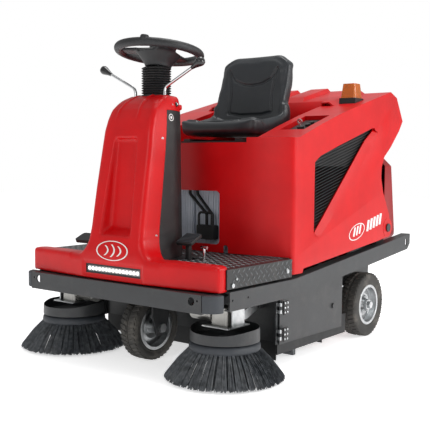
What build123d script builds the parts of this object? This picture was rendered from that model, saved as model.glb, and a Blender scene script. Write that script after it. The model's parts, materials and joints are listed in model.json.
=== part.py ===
"""Ride-on sweeper: every separate piece of the machine as its own solid.

Sizes are millimetres. The pieces are drawn with Y as the distance behind the
face of the front bumper, and moved so the whole machine is centred when saved.
+X is the machine's left, +Z is up, the floor is Z = 0.
"""
from build123d import *
import math
import os

# ---- whole machine -------------------------------------------------------
BODY_W = 1000            # over the side rails
RAIL_END = 1560          # bumper face to the rear end of the rails
BUMPER_TOP = 332
BUMPER_H = 67
RAIL_START = 88
RAIL_TOP = 337
RAIL_H = 68
RAIL_KINK = 508          # the rails rise from here
RAIL_RISE = 106
RAIL_DEEPEN = 3
STEEL = 6                # frame plate
SHEET = 3                # light sheet
FLOOR_Z = 415            # standing surface of the platform
FIT_GAP = 0.5            # between fixed pieces that only touch
MOVE_GAP = 4             # between pieces that pass each other
SHAFT_GAP = 0.08         # radial, running shafts

# ---- bumper --------------------------------------------------------------
CORNER_R = 56
BAR_HALF = BODY_W / 2 - CORNER_R
BAR_HOLE_X = 399
BAR_HOLE_R = 14.5
BAR_SMALL_X = 425
BAR_SMALL_R = 4
BAR_FLANGE = 90

# ---- fairing -------------------------------------------------------------
NOSE_TOP = 424
NOSE_BACK = 112
NOSE_END_X = 482
NOSE_END_Y = 45
NOSE_FRONT = 15
WALL = 5                 # moulded shell thickness
COLUMN_TOP = 1040
COVER_TOP = 978          # black rear cover stops here
COVER_Y_LOW = 132        # joint line between red shell and rear cover
COVER_Y_HIGH = 170
LAMP_HALF = 147
LAMP_Z = 374
LAMP_H = 42
LENS_H = 22
LENS_HALF = 138

# ---- steering ------------------------------------------------------------
WHEEL_Y = 279
WHEEL_Z = 1210
WHEEL_TILT = 7.3
RING_R = 163
RING_SECTION = 14
SHAFT_R = 13
SHAFT_LEN = 560
BELLOWS_R = 57
BELLOWS_RIBS = 11
BELLOWS_H = 98
HUB_TOP_R = 88

# ---- levers and pedals ---------------------------------------------------
LEVER_X = 74
LEVER_Y = 226
LEVER_PIVOT_Z = 1000
LEVER_ROD_R = 4.5
LEVER_BEND_Z = 1082
KNOB_X = 238
KNOB_Z = 1150
KNOB_R = 20
PEDAL_Y = 236
PEDAL_X = 193
FLAP_X = -262
FLAP_Y = 150
BRAKE_X = 256
BRAKE_Y = 250
PEDAL_PIVOT_Z = 392

# ---- wheels --------------------------------------------------------------
REAR_R = 145
FRONT_R = 132
TYRE_W = 84
RIM_R = 88
REAR_Y = 1163
REAR_OUT = 490           # outer face of the rear tyres
FRONT_Y = 227
AXLE_R = 12
FORK_PLATE = 8
FORK_W = 100
STEM_R = 25

# ---- side brushes --------------------------------------------------------
BRUSH_X = 402
BRUSH_Y = 191
BRUSH_R = 223
BRUSH_LIFT_Z = 6
BRUSH_ROOT_R = 124
BRUSH_ROOT_Z = 116
HUB_R = 130
HUB_H = 24
SHROUD_R = 128
SHROUD_Z0 = 143
SHROUD_Z1 = 192
MOTOR_Z = 234
MOTOR_R = 31
ARM_PIVOT_Y = 424
ARM_PIVOT_Z = 240
ARM_X = 372

# ---- main brush, doors, hopper -------------------------------------------
MAIN_R = 148
MAIN_Y = 622
MAIN_HALF = 435
MAIN_CORE_R = 62
BULK_Y = 440
BULK_HALF = 464
DOOR_X = 474
DOOR_Y0 = 438
DOOR_Y1 = 927
DOOR_Z0 = 86
DOOR_Z1 = 262
HINGE_X = 485
HINGE_Y = 430
HINGE_ZS = (129, 232)
KNUCKLE_R = 6
PIN_R = 2.5
HOPPER_HALF = 272
HOPPER_Y0 = 815
HOPPER_Z0 = 112
HOPPER_Z1 = 322
PANEL_Y = 1452
PANEL_HALF = 436
PANEL_TOP = 842

# ---- hood ----------------------------------------------------------------
HOOD_HALF = 490
HOOD_FRONT = 458
HOOD_SIDE_Y = 508
HOOD_BOW = ((150, 0), (320, 16), (470, 39))   # how far the front face sweeps back
DECK_Z = 862
TROUGH_HALF = 288
TROUGH_BACK = 1075
PIVOT_Y = 1328
PIVOT_Z = 486
PIVOT_R = 12
BOSS_R = 45
WINDOW_HALF = 166
BEVEL_W = 46             # sloping strip along the side window's long edge
BEVEL_DEPTH = 11
CROWN_HALF = 356         # raised middle of the hood's top
CROWN = 18
RIDGE_H = 15
RIDGE_W = 165
RIDGE_EDGES = (-170, 0, 170)
WINDOW_Z0 = 450
WINDOW_Z1 = 667
SHOULDER_SLOPE = 18.4
SHOULDER_Y = 541
SHOULDER_Z = 882

# ---- seat ----------------------------------------------------------------
SEAT_HALF = 226
SEAT_FRONT = 618
SEAT_BACK = 1000
SEAT_TOP = 1280
SEAT_BOTTOM = 900
SEAT_THICK = 62
BASE_HALF = 169

# ---- battery -------------------------------------------------------------
BATT_Y0 = 506
BATT_LEN = 262
BATT_HALF = 262
BATT_Z0 = 348
BATT_H = 336
BATT_SPLIT = 14
CABLE_R = 6

MID = (RAIL_END + BRUSH_Y - BRUSH_R) / 2


# ---- helpers -------------------------------------------------------------
def block(x0, x1, y0, y1, z0, z1):
    """Box between two corners."""
    return Pos((x0 + x1) / 2, (y0 + y1) / 2, (z0 + z1) / 2) * Box(x1 - x0, y1 - y0, z1 - z0)


def cyl_x(x0, x1, y, z, r):
    return Pos((x0 + x1) / 2, y, z) * Rot(0, 90, 0) * Cylinder(r, abs(x1 - x0))


def cyl_y(y0, y1, x, z, r):
    return Pos(x, (y0 + y1) / 2, z) * Rot(90, 0, 0) * Cylinder(r, abs(y1 - y0))


def cyl_z(z0, z1, x, y, r):
    return Pos(x, y, (z0 + z1) / 2) * Cylinder(r, abs(z1 - z0))


def outline(points, radius=0.0):
    """Closed 2-D face through the points, all corners rounded if asked."""
    face = make_face(Polyline(*points, close=True))
    return fillet(face.vertices(), radius) if radius else face


def prism_x(points, x0, x1, radius=0.0):
    """Side outline (y, z) carried from x0 to x1."""
    return extrude(Plane.YZ.offset(x0) * outline(points, radius), x1 - x0)


def prism_z(points, z0, z1, radius=0.0):
    """Plan outline (x, y) carried from z0 to z1."""
    return extrude(Plane.XY.offset(z0) * outline(points, radius), z1 - z0)


def prism_y(points, y0, y1, radius=0.0):
    """Front outline (x, z) carried from y0 to y1."""
    return extrude(Plane.XZ.offset(-y0) * outline(points, radius), -(y1 - y0))


def spin_z(points, x=0.0, y=0.0):
    """Outline (r, z) turned about a vertical axis through (x, y)."""
    face = Plane.XZ * outline(points)
    return Pos(x, y, 0) * revolve(face, Axis.Z)


def spin_x(points, y, z):
    """Outline (x, r) turned about an axis along X through (y, z)."""
    face = Plane.XY * outline(points)
    return Pos(0, y, z) * revolve(face, Axis.X)


def other_side(shape):
    return mirror(shape, about=Plane.YZ)


def both(shape):
    return Compound([shape, other_side(shape)])


def join(*shapes):
    total = shapes[0]
    for shape in shapes[1:]:
        total = total + shape
    return total


def rail_top(y):
    return RAIL_TOP + max(0, y - RAIL_KINK) * RAIL_RISE / (RAIL_END - RAIL_KINK)


def rail_bottom(y):
    return RAIL_TOP - RAIL_H + max(0, y - RAIL_KINK) * (RAIL_RISE - RAIL_DEEPEN) / (RAIL_END - RAIL_KINK)


def hex_head(x0, x1, y, z, r):
    """Hexagon head with its axis along X."""
    face = Plane.YZ.offset(x0) * Pos(y, z) * RegularPolygon(r, 6)
    return extrude(face, x1 - x0)


# ---- frame ---------------------------------------------------------------
def front_bumper_bar():
    z0 = BUMPER_TOP - BUMPER_H
    bar = block(-BAR_HALF, BAR_HALF, 0, STEEL, z0, BUMPER_TOP)
    bar += block(-BAR_HALF, BAR_HALF, STEEL, BAR_FLANGE, BUMPER_TOP - STEEL, BUMPER_TOP)
    bar += block(-BAR_HALF, BAR_HALF, STEEL, STEEL * 4, z0, z0 + STEEL)
    for side in (-1, 1):
        bar -= cyl_y(-1, STEEL + 1, side * BAR_HOLE_X, BUMPER_TOP - BUMPER_H * 0.38, BAR_HOLE_R)
        bar -= cyl_y(-1, STEEL + 1, side * BAR_SMALL_X, BUMPER_TOP - BUMPER_H * 0.32, BAR_SMALL_R)
    return bar


def corner_bumpers():
    x0, z0 = BAR_HALF + FIT_GAP, BUMPER_TOP - BUMPER_H + 4
    height = BUMPER_H - 5
    full = cyl_z(z0, z0 + height, BAR_HALF, CORNER_R, CORNER_R)
    full -= cyl_z(z0 - 1, z0 + height - 8, BAR_HALF, CORNER_R, CORNER_R - 12)
    full &= block(x0, BODY_W / 2 + 1, -1, CORNER_R, z0 - 1, BUMPER_TOP)
    full += block(x0, x0 + 12, CORNER_R, CORNER_R + 26, z0, z0 + height)
    return both(full)


def rail_profile():
    low = RAIL_TOP - RAIL_H
    end_low = low + RAIL_RISE - RAIL_DEEPEN
    return [(RAIL_START, low), (RAIL_KINK, low), (RAIL_END - 26, end_low - 2), (RAIL_END, end_low + 24),
            (RAIL_END, RAIL_TOP + RAIL_RISE), (RAIL_KINK, RAIL_TOP), (RAIL_START, RAIL_TOP)]


def side_rails():
    x1 = BODY_W / 2
    rail = prism_x(rail_profile(), x1 - STEEL, x1)
    top = [(RAIL_START, RAIL_TOP - STEEL), (RAIL_KINK, RAIL_TOP - STEEL),
           (RAIL_END, RAIL_TOP + RAIL_RISE - STEEL), (RAIL_END, RAIL_TOP + RAIL_RISE),
           (RAIL_KINK, RAIL_TOP), (RAIL_START, RAIL_TOP)]
    rail += prism_x(top, x1 - 46, x1 - STEEL)
    low = RAIL_TOP - RAIL_H
    end = RAIL_END - 60
    bottom = [(RAIL_START, low), (RAIL_KINK, low), (end, rail_bottom(end)),
              (end, rail_bottom(end) + STEEL), (RAIL_KINK, low + STEEL), (RAIL_START, low + STEEL)]
    rail += prism_x(bottom, x1 - 24, x1 - STEEL)
    slot_z = rail_top(RAIL_END - 41) - 34
    rail -= block(x1 - 10, x1 + 1, RAIL_END - 51, RAIL_END - 31, slot_z - 8, slot_z + 8)
    for dz in (-8, 8):
        rail -= cyl_x(x1 - 10, x1 + 1, RAIL_END - 41, slot_z + dz, 10)
    for y in (104, 196):
        rail -= cyl_x(x1 - 10, x1 + 1, y, RAIL_TOP - RAIL_H * 0.45, 4)
    return both(rail)


def chassis_frame():
    inner = BODY_W / 2 - STEEL
    half = BODY_W / 2 - 46
    frame = block(-half, half, RAIL_START + 4, RAIL_START + 34, RAIL_TOP - 36, RAIL_TOP - 8)
    # fork head plate and tube
    frame += block(-180, 180, RAIL_START + 20, BULK_Y + STEEL, RAIL_TOP - 20, RAIL_TOP - 10)
    frame += cyl_z(RAIL_TOP - 40, 398, 0, FRONT_Y, STEM_R + 13)
    frame -= cyl_z(RAIL_TOP - 60, 400, 0, FRONT_Y, STEM_R + SHAFT_GAP)
    # front bulkhead of the sweeping chamber
    frame += block(-BULK_HALF, BULK_HALF, BULK_Y, BULK_Y + STEEL, 96, RAIL_TOP - 10)
    # floor bearers
    for y in (174, 452):
        frame += block(-half, half, y, y + 26, FLOOR_Z - 36, FLOOR_Z - STEEL)
        for side in (-1, 1):
            x = side * (half - 13)
            front = NOSE_BACK + 3 if y < BULK_Y else BULK_Y + 3
            frame += block(x - 13, x + 13, front, y + 26, RAIL_TOP - 24, FLOOR_Z - 34)
    # cross tubes between the rails
    for y in (492, 840, 1350):
        z = rail_bottom(y) + 22
        frame += block(-inner, inner, y, y + 34, z, z + 30)
    # long members, parallel to the rails
    for side in (-1, 1):
        a, b = sorted((side * 290, side * 318))
        ends = [(RAIL_START + 8, 32), (RAIL_KINK, 32), (1380, 32), (1380, 60), (RAIL_KINK, 60), (RAIL_START + 8, 60)]
        frame += prism_x([(y, rail_bottom(y) + dz) for y, dz in ends], a, b)
    # battery tray
    frame += block(-BATT_HALF - 34, BATT_HALF + 34, 480, 866, BATT_Z0 - 8, BATT_Z0 - 2)
    # rear bulkhead of the sweeping chamber
    frame += block(-BULK_HALF, BULK_HALF, HOPPER_Y0 - 14, HOPPER_Y0 - 8, 240, 345)
    for side in (-1, 1):
        a, b = sorted((side * (BULK_HALF - 4), side * (BULK_HALF + 6)))
        # door post, brush bearing plate and wheel arch plate
        frame += block(a, b, BULK_Y - 18, BULK_Y + 4, 90, RAIL_TOP - 14)
        a, b = sorted((side * (MAIN_HALF + 9), side * (MAIN_HALF + 9 + STEEL)))
        plate = block(a, b, MAIN_Y - 45, MAIN_Y + 45, 104, 345)
        plate -= cyl_x(a - 1, b + 1, MAIN_Y, MAIN_R + BRUSH_LIFT_Z, 15 + SHAFT_GAP)
        frame += plate + block(a, b, BULK_Y, HOPPER_Y0 - 8, 318, 345)
        a, b = sorted((side * 384, side * 390))
        arch = prism_x([(1000, 215), (1080, 88), (1246, 88), (1340, 215), (1340, 425), (1000, 340)], a, b)
        arch -= cyl_x(a - 1, b + 1, REAR_Y, REAR_R, 22.5)
        frame += arch
        a, b = sorted((side * 300, side * inner))
        frame += block(a, b, 1004, 1030, rail_bottom(1004) + 26, rail_bottom(1004) + 52)
        frame += block(a, b, 1310, 1336, rail_bottom(1310) + 26, rail_bottom(1310) + 52)
        # hood pivot bracket and pin
        a, b = sorted((side * (PANEL_HALF + 8), side * (BODY_W / 2 - 47)))
        frame += block(a, b, PIVOT_Y - 36, PIVOT_Y + 36, rail_top(PIVOT_Y) - 30, PIVOT_Z + 30)
        a, b = sorted((side * (PANEL_HALF + 9), side * (HOOD_HALF + 3)))
        frame += cyl_x(a, b, PIVOT_Y, PIVOT_Z, PIVOT_R)
        a, b = sorted((side * (HOOD_HALF + 2), side * (HOOD_HALF + 7)))
        frame += cyl_x(a, b, PIVOT_Y, PIVOT_Z, PIVOT_R + 7)
    return frame + column_post() + arm_brackets()


def steering_place():
    """Placement of the wheel: local Z is the column axis, origin the ring centre."""
    return Pos(0, WHEEL_Y, WHEEL_Z) * Rot(-WHEEL_TILT, 0, 0)


def column_post():
    """Steering column tube on two plates standing on the floor bearer."""
    sleeve = Pos(0, 0, -345) * (Cylinder(SHAFT_R + 9, 330) - Cylinder(SHAFT_R + SHAFT_GAP, 340))
    post = steering_place() * sleeve
    y = WHEEL_Y - (WHEEL_Z - 760) * math.tan(math.radians(WHEEL_TILT))
    for side in (-1, 1):
        a, b = sorted((side * 19, side * 25))
        post += block(a, b, 166, y + 16, FLOOR_Z - 12, 960)
    post += cyl_x(-LEVER_X - 13, LEVER_X + 13, LEVER_Y, LEVER_PIVOT_Z, 5)
    for side in (-1, 1):
        a, b = sorted((side * (LEVER_X - 18), side * (LEVER_X - 12.5)))
        post += cyl_x(a, b, LEVER_Y, LEVER_PIVOT_Z, 8)
    lower = steering_place() * (Pos(0, 0, -345) * Cylinder(SHAFT_R + SHAFT_GAP, 700))
    return post - lower


def arm_brackets():
    """Ears on the front bulkhead that carry the side brush arms."""
    parts = []
    for side in (-1, 1):
        for dx in (-32, 26):
            a = side * ARM_X + dx
            ear = block(a, a + STEEL, ARM_PIVOT_Y - 14, BULK_Y + 2, ARM_PIVOT_Z - 16, ARM_PIVOT_Z + 16)
            parts.append(ear)
        pin = cyl_x(side * ARM_X - 32, side * ARM_X + 32, ARM_PIVOT_Y, ARM_PIVOT_Z, 6)
        parts.append(pin)
    return join(*parts)


def platform_plate():
    out = BODY_W / 2 - 7
    zlow = RAIL_TOP + 8
    rear = HOOD_SIDE_Y - 14
    plan = [(-out, NOSE_BACK - 32), (-out, rear), (out, rear), (out, NOSE_BACK - 32),
            (448, NOSE_BACK + 1), (-448, NOSE_BACK + 1)]
    plate = prism_z(plan, FLOOR_Z - STEEL, FLOOR_Z)
    # the hood's front edge sits over the back of the plate
    for side in (-1, 1):
        a, b = sorted((side * (out - STEEL), side * out))
        plate += block(a, b, NOSE_BACK - 32, rear, zlow, FLOOR_Z)
    # pedal and lever openings
    plate -= block(PEDAL_X - 16, PEDAL_X + 16, PEDAL_Y - 22, PEDAL_Y + 40, 400, 420)
    plate -= block(FLAP_X - 12, FLAP_X + 12, FLAP_Y - 18, FLAP_Y + 34, 400, 420)
    plate -= cyl_z(400, 420, BRAKE_X, BRAKE_Y, 8)
    plate -= cyl_z(400, 420, 0, FRONT_Y, STEM_R + 20)
    for side in (-1, 1):
        plate -= block(side * 22 - 4, side * 22 + 4, 160, 240, 400, 420)
    return plate


def body_screws():
    """Screws of the platform skirts and of the fairing sides."""
    parts = []
    x = BODY_W / 2 - 7
    for y in (112, 462):
        z = RAIL_TOP + 20 if y < 200 else RAIL_TOP + 34
        parts.append(cyl_x(x, x + 4, y, z, 8))
    for y, z in ((132, 868), (86, 506)):
        w = column_half(z) + 0.6
        parts.append(cyl_x(w, w + 4, y + 24, z, 7))
    return Compound([s for p in parts for s in (p, other_side(p))])


# ---- fairing and column --------------------------------------------------
COLUMN = (  # height, half width, front, half width at the back, back
    (FLOOR_Z + FIT_GAP, 170, 18, 84, 334),
    (452, 149, 22, 82, 333),
    (500, 136, 31, 80, 332),
    (670, 131, 57, 76, 332),
    (830, 127, 86, 72, 333),
    (900, 122, 97, 71, 333),
    (945, 117, 112, 70, 333),
    (980, 112, 128, 70, 332),
    (1005, 105, 148, 70, 331),
    (1022, 98, 168, 69, 330),
    (1033, 91, 188, 68, 328),
    (COLUMN_TOP, 83, 208, 66, 325),
)


def column_half(z):
    for low, high in zip(COLUMN, COLUMN[1:]):
        if low[0] <= z <= high[0]:
            t = (z - low[0]) / (high[0] - low[0])
            return low[1] + t * (high[1] - low[1])
    return COLUMN[-1][1]


def column_solid(inset=0.0):
    """Column shroud as a stack of rounded sections; inset shrinks it."""
    faces = []
    for z, half, front, half_back, back in COLUMN:
        w, wb = half - inset, half_back - inset
        pts = [(-w, front + inset), (w, front + inset), (w, 240), (wb, back - inset), (-wb, back - inset),
               (-w, 240)]
        face = fillet(make_face(Polyline(*pts, close=True)).vertices(), 24 - inset / 2)
        faces.append(Plane.XY.offset(z) * face)
    return loft(faces, ruled=True)


def behind_joint(shift=0.0):
    """Space behind the joint line and below the top of the rear cover."""
    slope = (COVER_Y_HIGH - COVER_Y_LOW) / 424
    y0 = COVER_Y_LOW + (300 - 404) * slope + shift
    y1 = COVER_Y_LOW + (COVER_TOP - shift - 404) * slope + shift
    pts = [(y0, 300), (400, 300), (400, COVER_TOP - shift), (y1, COVER_TOP - shift)]
    return prism_x(pts, -300, 300)


def nose_solid(inset=0.0):
    e = inset
    pts = [(-NOSE_END_X + e, NOSE_BACK - 34), (-NOSE_END_X + 4 + e, NOSE_END_Y + e),
           (-300, NOSE_FRONT + 13 + e), (-150, NOSE_FRONT + 2 + e), (150, NOSE_FRONT + 2 + e),
           (300, NOSE_FRONT + 13 + e), (NOSE_END_X - 4 - e, NOSE_END_Y + e),
           (NOSE_END_X - e, NOSE_BACK - 34), (446 - e, NOSE_BACK - e), (-446 + e, NOSE_BACK - e)]
    z0 = BUMPER_TOP + 2 - (3 if inset else 0)
    body = prism_z(pts, z0, NOSE_TOP - e, 14 - e)
    if not inset:
        body = fillet(body.faces().sort_by(Axis.Z)[-1].edges(), 11)
    return body


def front_fairing():
    outer = nose_solid() + (column_solid() & block(-300, 300, 0, 400, 0, COLUMN_TOP - 0.01))
    core = column_solid(WALL) & block(-300, 300, 0, 400, 0, COLUMN_TOP - WALL)
    shell = outer - nose_solid(WALL) - core
    shell -= block(-165, 165, NOSE_FRONT + 20, NOSE_BACK - WALL, FLOOR_Z - 20, FLOOR_Z + 60) & core
    shell -= behind_joint()
    shell -= both(block(BODY_W / 2 - 48, BODY_W / 2, RAIL_START - 2, NOSE_BACK + 1, 300, RAIL_TOP + FIT_GAP))
    # recess on the front of the column
    slope = math.degrees(math.atan2(86 - 31, 330))
    recess = prism_y([(-78, -172), (78, -172), (92, -120), (62, 178), (-62, 178), (-92, -120)], -40, 8, 10)
    rec = Pos(0, 57, 650) * Rot(-slope, 0, 0) * recess
    pocket = column_solid() & rec
    shell += column_solid(1) & (Pos(0, 57, 650) * Rot(-slope, 0, 0)
                                * prism_y([(-98, -180), (98, -180), (98, 186), (-98, 186)], 2, 13))
    shell -= pocket
    # lamp opening, lever slots, bellows opening
    shell -= block(-LAMP_HALF, LAMP_HALF, 0, NOSE_FRONT + 30, LAMP_Z - LAMP_H / 2, LAMP_Z + LAMP_H / 2)
    for side in (-1, 1):
        shell -= block(side * LEVER_X - 8, side * LEVER_X + 8, LEVER_Y - 10, LEVER_Y + 42, 1000, 1060)
    y = WHEEL_Y - (WHEEL_Z - COLUMN_TOP) * math.tan(math.radians(WHEEL_TILT))
    shell -= cyl_z(1000, 1060, 0, y, 44)
    return shell


def column_cover():
    outer = column_solid() & behind_joint(0.8)
    core = column_solid(WALL) & block(-300, 300, 0, 340, 0, COVER_TOP - 6)
    cover = outer - core
    y = WHEEL_Y - (WHEEL_Z - COVER_TOP) * math.tan(math.radians(WHEEL_TILT))
    return cover - cyl_z(COVER_TOP - 20, COVER_TOP + 5, 0, y, SHAFT_R + 16)


def led_housing():
    z0, z1 = LAMP_Z - LAMP_H / 2 + FIT_GAP, LAMP_Z + LAMP_H / 2 - FIT_GAP
    half = LAMP_HALF - FIT_GAP
    body = block(-half, half, NOSE_FRONT + 7, NOSE_FRONT + 30, z0, z1)
    body -= block(-LENS_HALF - 1, LENS_HALF + 1, NOSE_FRONT, NOSE_FRONT + 22,
                  LAMP_Z - LENS_H / 2 - 1, LAMP_Z + LENS_H / 2 + 1)
    return body


def led_lens():
    return block(-LENS_HALF, LENS_HALF, NOSE_FRONT + 9, NOSE_FRONT + 22,
                 LAMP_Z - LENS_H / 2, LAMP_Z + LENS_H / 2)


def bellows():
    """Corrugated boot between the column and the steering wheel hub."""
    z0 = -(WHEEL_Z - COLUMN_TOP) / math.cos(math.radians(WHEEL_TILT)) + 9
    pitch = BELLOWS_H / BELLOWS_RIBS
    outer = []
    for i in range(BELLOWS_RIBS):
        r = BELLOWS_R - 4 * i / BELLOWS_RIBS
        z = z0 + i * pitch
        outer += [(r - 7, z), (r, z + pitch * 0.35), (r, z + pitch * 0.65)]
    top = z0 + BELLOWS_H
    outer += [(BELLOWS_R - 11, top), (BELLOWS_R - 16, top), (BELLOWS_R - 16, z0)]
    return steering_place() * revolve(Plane.XZ * outline(outer), Axis.Z)


# ---- steering ------------------------------------------------------------
def steering_shaft():
    shaft = Cylinder(SHAFT_R, SHAFT_LEN)
    head = Pos(0, 0, SHAFT_LEN / 2 + 19) * Cylinder(8, 40)
    foot = Pos(0, 0, -SHAFT_LEN / 2 + 4) * Cylinder(17, 8)
    return steering_place() * (Pos(0, 0, -SHAFT_LEN / 2 - 30.5) * (shaft + head + foot))


def steering_wheel():
    ring = Torus(RING_R, RING_SECTION)
    z = -34
    spokes = []
    for angle in (90, 210, 330):
        arm = outline([(26, -52), (RING_R, -25), (RING_R, 25), (26, 52)])
        bar = extrude(Plane.XY.offset(-6) * arm, 12)
        cut = prism_y([(10, -50), (RING_R + 30, -8), (RING_R + 30, -60)], -80, 80)
        spokes.append(Rot(0, 0, angle) * (bar - cut))
    hub = revolve(Plane.XZ * outline([(0, 6), (52, 6), (HUB_TOP_R, -8), (70, -30), (54, -50), (50, -62),
                                      (38, -62), (38, -30), (0, -30)]), Axis.Z)
    wheel = join(ring, hub, *spokes)
    wheel -= Pos(0, 0, -20) * Cylinder(8 + 0.02, 60)
    return steering_place() * wheel


def steering_hub():
    """Centre pad over the shaft nut."""
    pad = Pos(0, 0, 8 + FIT_GAP + 4) * Cylinder(40, 12)
    pad -= Pos(0, 0, 4) * Cylinder(14, 12)
    return steering_place() * pad


# ---- levers, pedals ------------------------------------------------------
def rod_along(points, radius, bend):
    """Round bar along a bent path."""
    path = FilletPolyline(*points, radius=bend)
    start = Plane(origin=points[0], z_dir=Vector(*points[1]) - Vector(*points[0]))
    return sweep(start * Circle(radius), path=path)


def lever():
    points = [(LEVER_X, LEVER_Y, LEVER_PIVOT_Z + 6.5), (LEVER_X, LEVER_Y, LEVER_BEND_Z),
              (KNOB_X - 20, LEVER_Y, KNOB_Z - 9)]
    rod = rod_along(points, LEVER_ROD_R, 16)
    rod += cyl_x(LEVER_X - 12, LEVER_X + 12, LEVER_Y, LEVER_PIVOT_Z, 9)
    return rod - cyl_x(LEVER_X - 13, LEVER_X + 13, LEVER_Y, LEVER_PIVOT_Z, 5 + SHAFT_GAP)


def lever_knob():
    dx, dz = KNOB_X - 20 - LEVER_X, KNOB_Z - 9 - LEVER_BEND_Z
    angle = math.degrees(math.atan2(dx, dz))
    knob = revolve(Plane.XZ * outline([(0, 4), (11, 4), (14, 14), (KNOB_R, 38), (KNOB_R - 3, 48),
                                       (11, 55), (0, 56)]), Axis.Z)
    stem = Cylinder(LEVER_ROD_R + 0.02, 60)
    knob -= stem
    place = Pos(KNOB_X - 20, LEVER_Y, KNOB_Z - 9) * Rot(0, angle, 0) * Pos(0, 0, -26)
    return place * knob


def drive_pedal():
    arm = prism_x([(PEDAL_Y - 12, PEDAL_PIVOT_Z - 8), (PEDAL_Y + 12, PEDAL_PIVOT_Z - 8),
                   (PEDAL_Y + 10, PEDAL_PIVOT_Z + 20), (PEDAL_Y + 6, PEDAL_PIVOT_Z + 88),
                   (PEDAL_Y - 10, PEDAL_PIVOT_Z + 92)], PEDAL_X - 9, PEDAL_X + 9)
    pad = Pos(PEDAL_X, PEDAL_Y, PEDAL_PIVOT_Z + 97) * Rot(24, 0, 0) * fillet(
        Box(78, 78, 12).edges().filter_by(Axis.Z), 12)
    return arm + pad + cyl_x(PEDAL_X - 9, PEDAL_X + 9, PEDAL_Y, PEDAL_PIVOT_Z, 10)


def flap_pedal():
    points = [(FLAP_X, FLAP_Y, PEDAL_PIVOT_Z - 6), (FLAP_X, FLAP_Y, PEDAL_PIVOT_Z + 44),
              (FLAP_X, FLAP_Y - 14, PEDAL_PIVOT_Z + 76)]
    rod = rod_along(points, 6, 10)
    pad = Pos(FLAP_X, FLAP_Y - 16, PEDAL_PIVOT_Z + 80) * Rot(24, 0, 0) * fillet(
        Box(82, 60, 14).edges().filter_by(Axis.Z), 12)
    return rod + pad + cyl_x(FLAP_X - 10, FLAP_X + 10, FLAP_Y, PEDAL_PIVOT_Z, 10)


def brake_rod():
    rod = cyl_z(FLOOR_Z - 40, FLOOR_Z + 44, BRAKE_X, BRAKE_Y, 5)
    return rod + cyl_x(BRAKE_X - 15, BRAKE_X + 15, BRAKE_Y, FLOOR_Z + 46, 5.5)


# ---- wheels --------------------------------------------------------------
def tyre(x0, x1, y, radius, blocks):
    """Tyre with two rows of tread blocks."""
    w = x1 - x0
    c = (x0 + x1) / 2
    h = w / 2
    pts = [(c - h * 0.72, RIM_R - 4), (c - h * 0.72, RIM_R + 5), (c - h * 0.98, RIM_R + 14), (c - h, radius - 28), (c - h * 0.9, radius - 12),
           (c - h * 0.7, radius - 2), (c, radius), (c + h * 0.7, radius - 2), (c + h * 0.9, radius - 12),
           (c + h, radius - 28), (c + h * 0.98, RIM_R + 14), (c + h * 0.72, RIM_R + 5),
           (c + h * 0.72, RIM_R - 4)]
    body = spin_x(pts, y, radius)
    cuts = []
    for i in range(blocks):
        for side in (-1, 1):
            a = 360 / blocks * (i + (0.5 if side > 0 else 0))
            s = c + side * h * 0.78
            cuts.append(Pos(s, y, radius) * Rot(a, 0, 0) * Pos(0, 0, radius) * Box(h * 0.62, 6, 10))
    return body - Compound(cuts)


def rim(x0, x1, y, radius, bore, hub_x0, hub_x1):
    """Pressed steel rim: two flanges, well, dished disc and hub."""
    c = (x0 + x1) / 2
    h = (x1 - x0) / 2
    r = RIM_R - 4 - 0.02
    barrel = spin_x([(c - h * 0.9, r - 6), (c - h * 0.9, r + 7), (c - h * 0.72 - 0.3, r + 7), (c - h * 0.72 - 0.3, r),
                     (c + h * 0.72 + 0.3, r), (c + h * 0.72 + 0.3, r + 7), (c + h * 0.9, r + 7),
                     (c + h * 0.9, r - 6)], y, radius)
    disc = spin_x([(c - 3, bore), (c + 5, bore), (c + 14, 48), (c + 4, 74), (c + 4, r - 4), (c - 4, r - 4),
                   (c - 4, 74), (c + 6, 48)], y, radius)
    hub = spin_x([(hub_x0, bore), (hub_x1, bore), (hub_x1, 24), (hub_x0, 28)], y, radius)
    return barrel + disc + hub


def steer_fork():
    top = FRONT_R * 2 + 22
    inner = TYRE_W / 2 + 12
    fork = block(-inner - FORK_PLATE, inner + FORK_PLATE, FRONT_Y - FORK_W / 2, FRONT_Y + FORK_W / 2, top, top + 9)
    for side in (-1, 1):
        a, b = sorted((side * inner, side * (inner + FORK_PLATE)))
        pts = [(FRONT_Y - FORK_W / 2, top + 5), (FRONT_Y - FORK_W / 2, FRONT_R + 50), (FRONT_Y - 26, FRONT_R - 28),
               (FRONT_Y + 26, FRONT_R - 28), (FRONT_Y + FORK_W / 2, FRONT_R + 50), (FRONT_Y + FORK_W / 2, top + 5)]
        leg = prism_x(pts, a, b)
        fork += leg - cyl_x(a - 1, b + 1, FRONT_Y, FRONT_R, AXLE_R + 0.02)
    return fork + cyl_z(top + 4, 398, 0, FRONT_Y, STEM_R)


def front_axle():
    outer = TYRE_W / 2 + 12 + FORK_PLATE
    pin = cyl_x(-outer - 8, outer + 8, FRONT_Y, FRONT_R, AXLE_R)
    for side in (-1, 1):
        a, b = sorted((side * (outer + FIT_GAP / 2), side * (outer + 12)))
        pin += hex_head(a, b, FRONT_Y, FRONT_R, 19)
    return pin


def rear_axle():
    """Stub axle, flange and end nut of each rear wheel."""
    stub = cyl_x(330, REAR_OUT + 2, REAR_Y, REAR_R, AXLE_R)
    stub += cyl_x(391 - FIT_GAP, 397, REAR_Y, REAR_R, 34)
    stub += hex_head(REAR_OUT - 2, REAR_OUT + 8, REAR_Y, REAR_R, 17)
    return both(stub)


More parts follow.
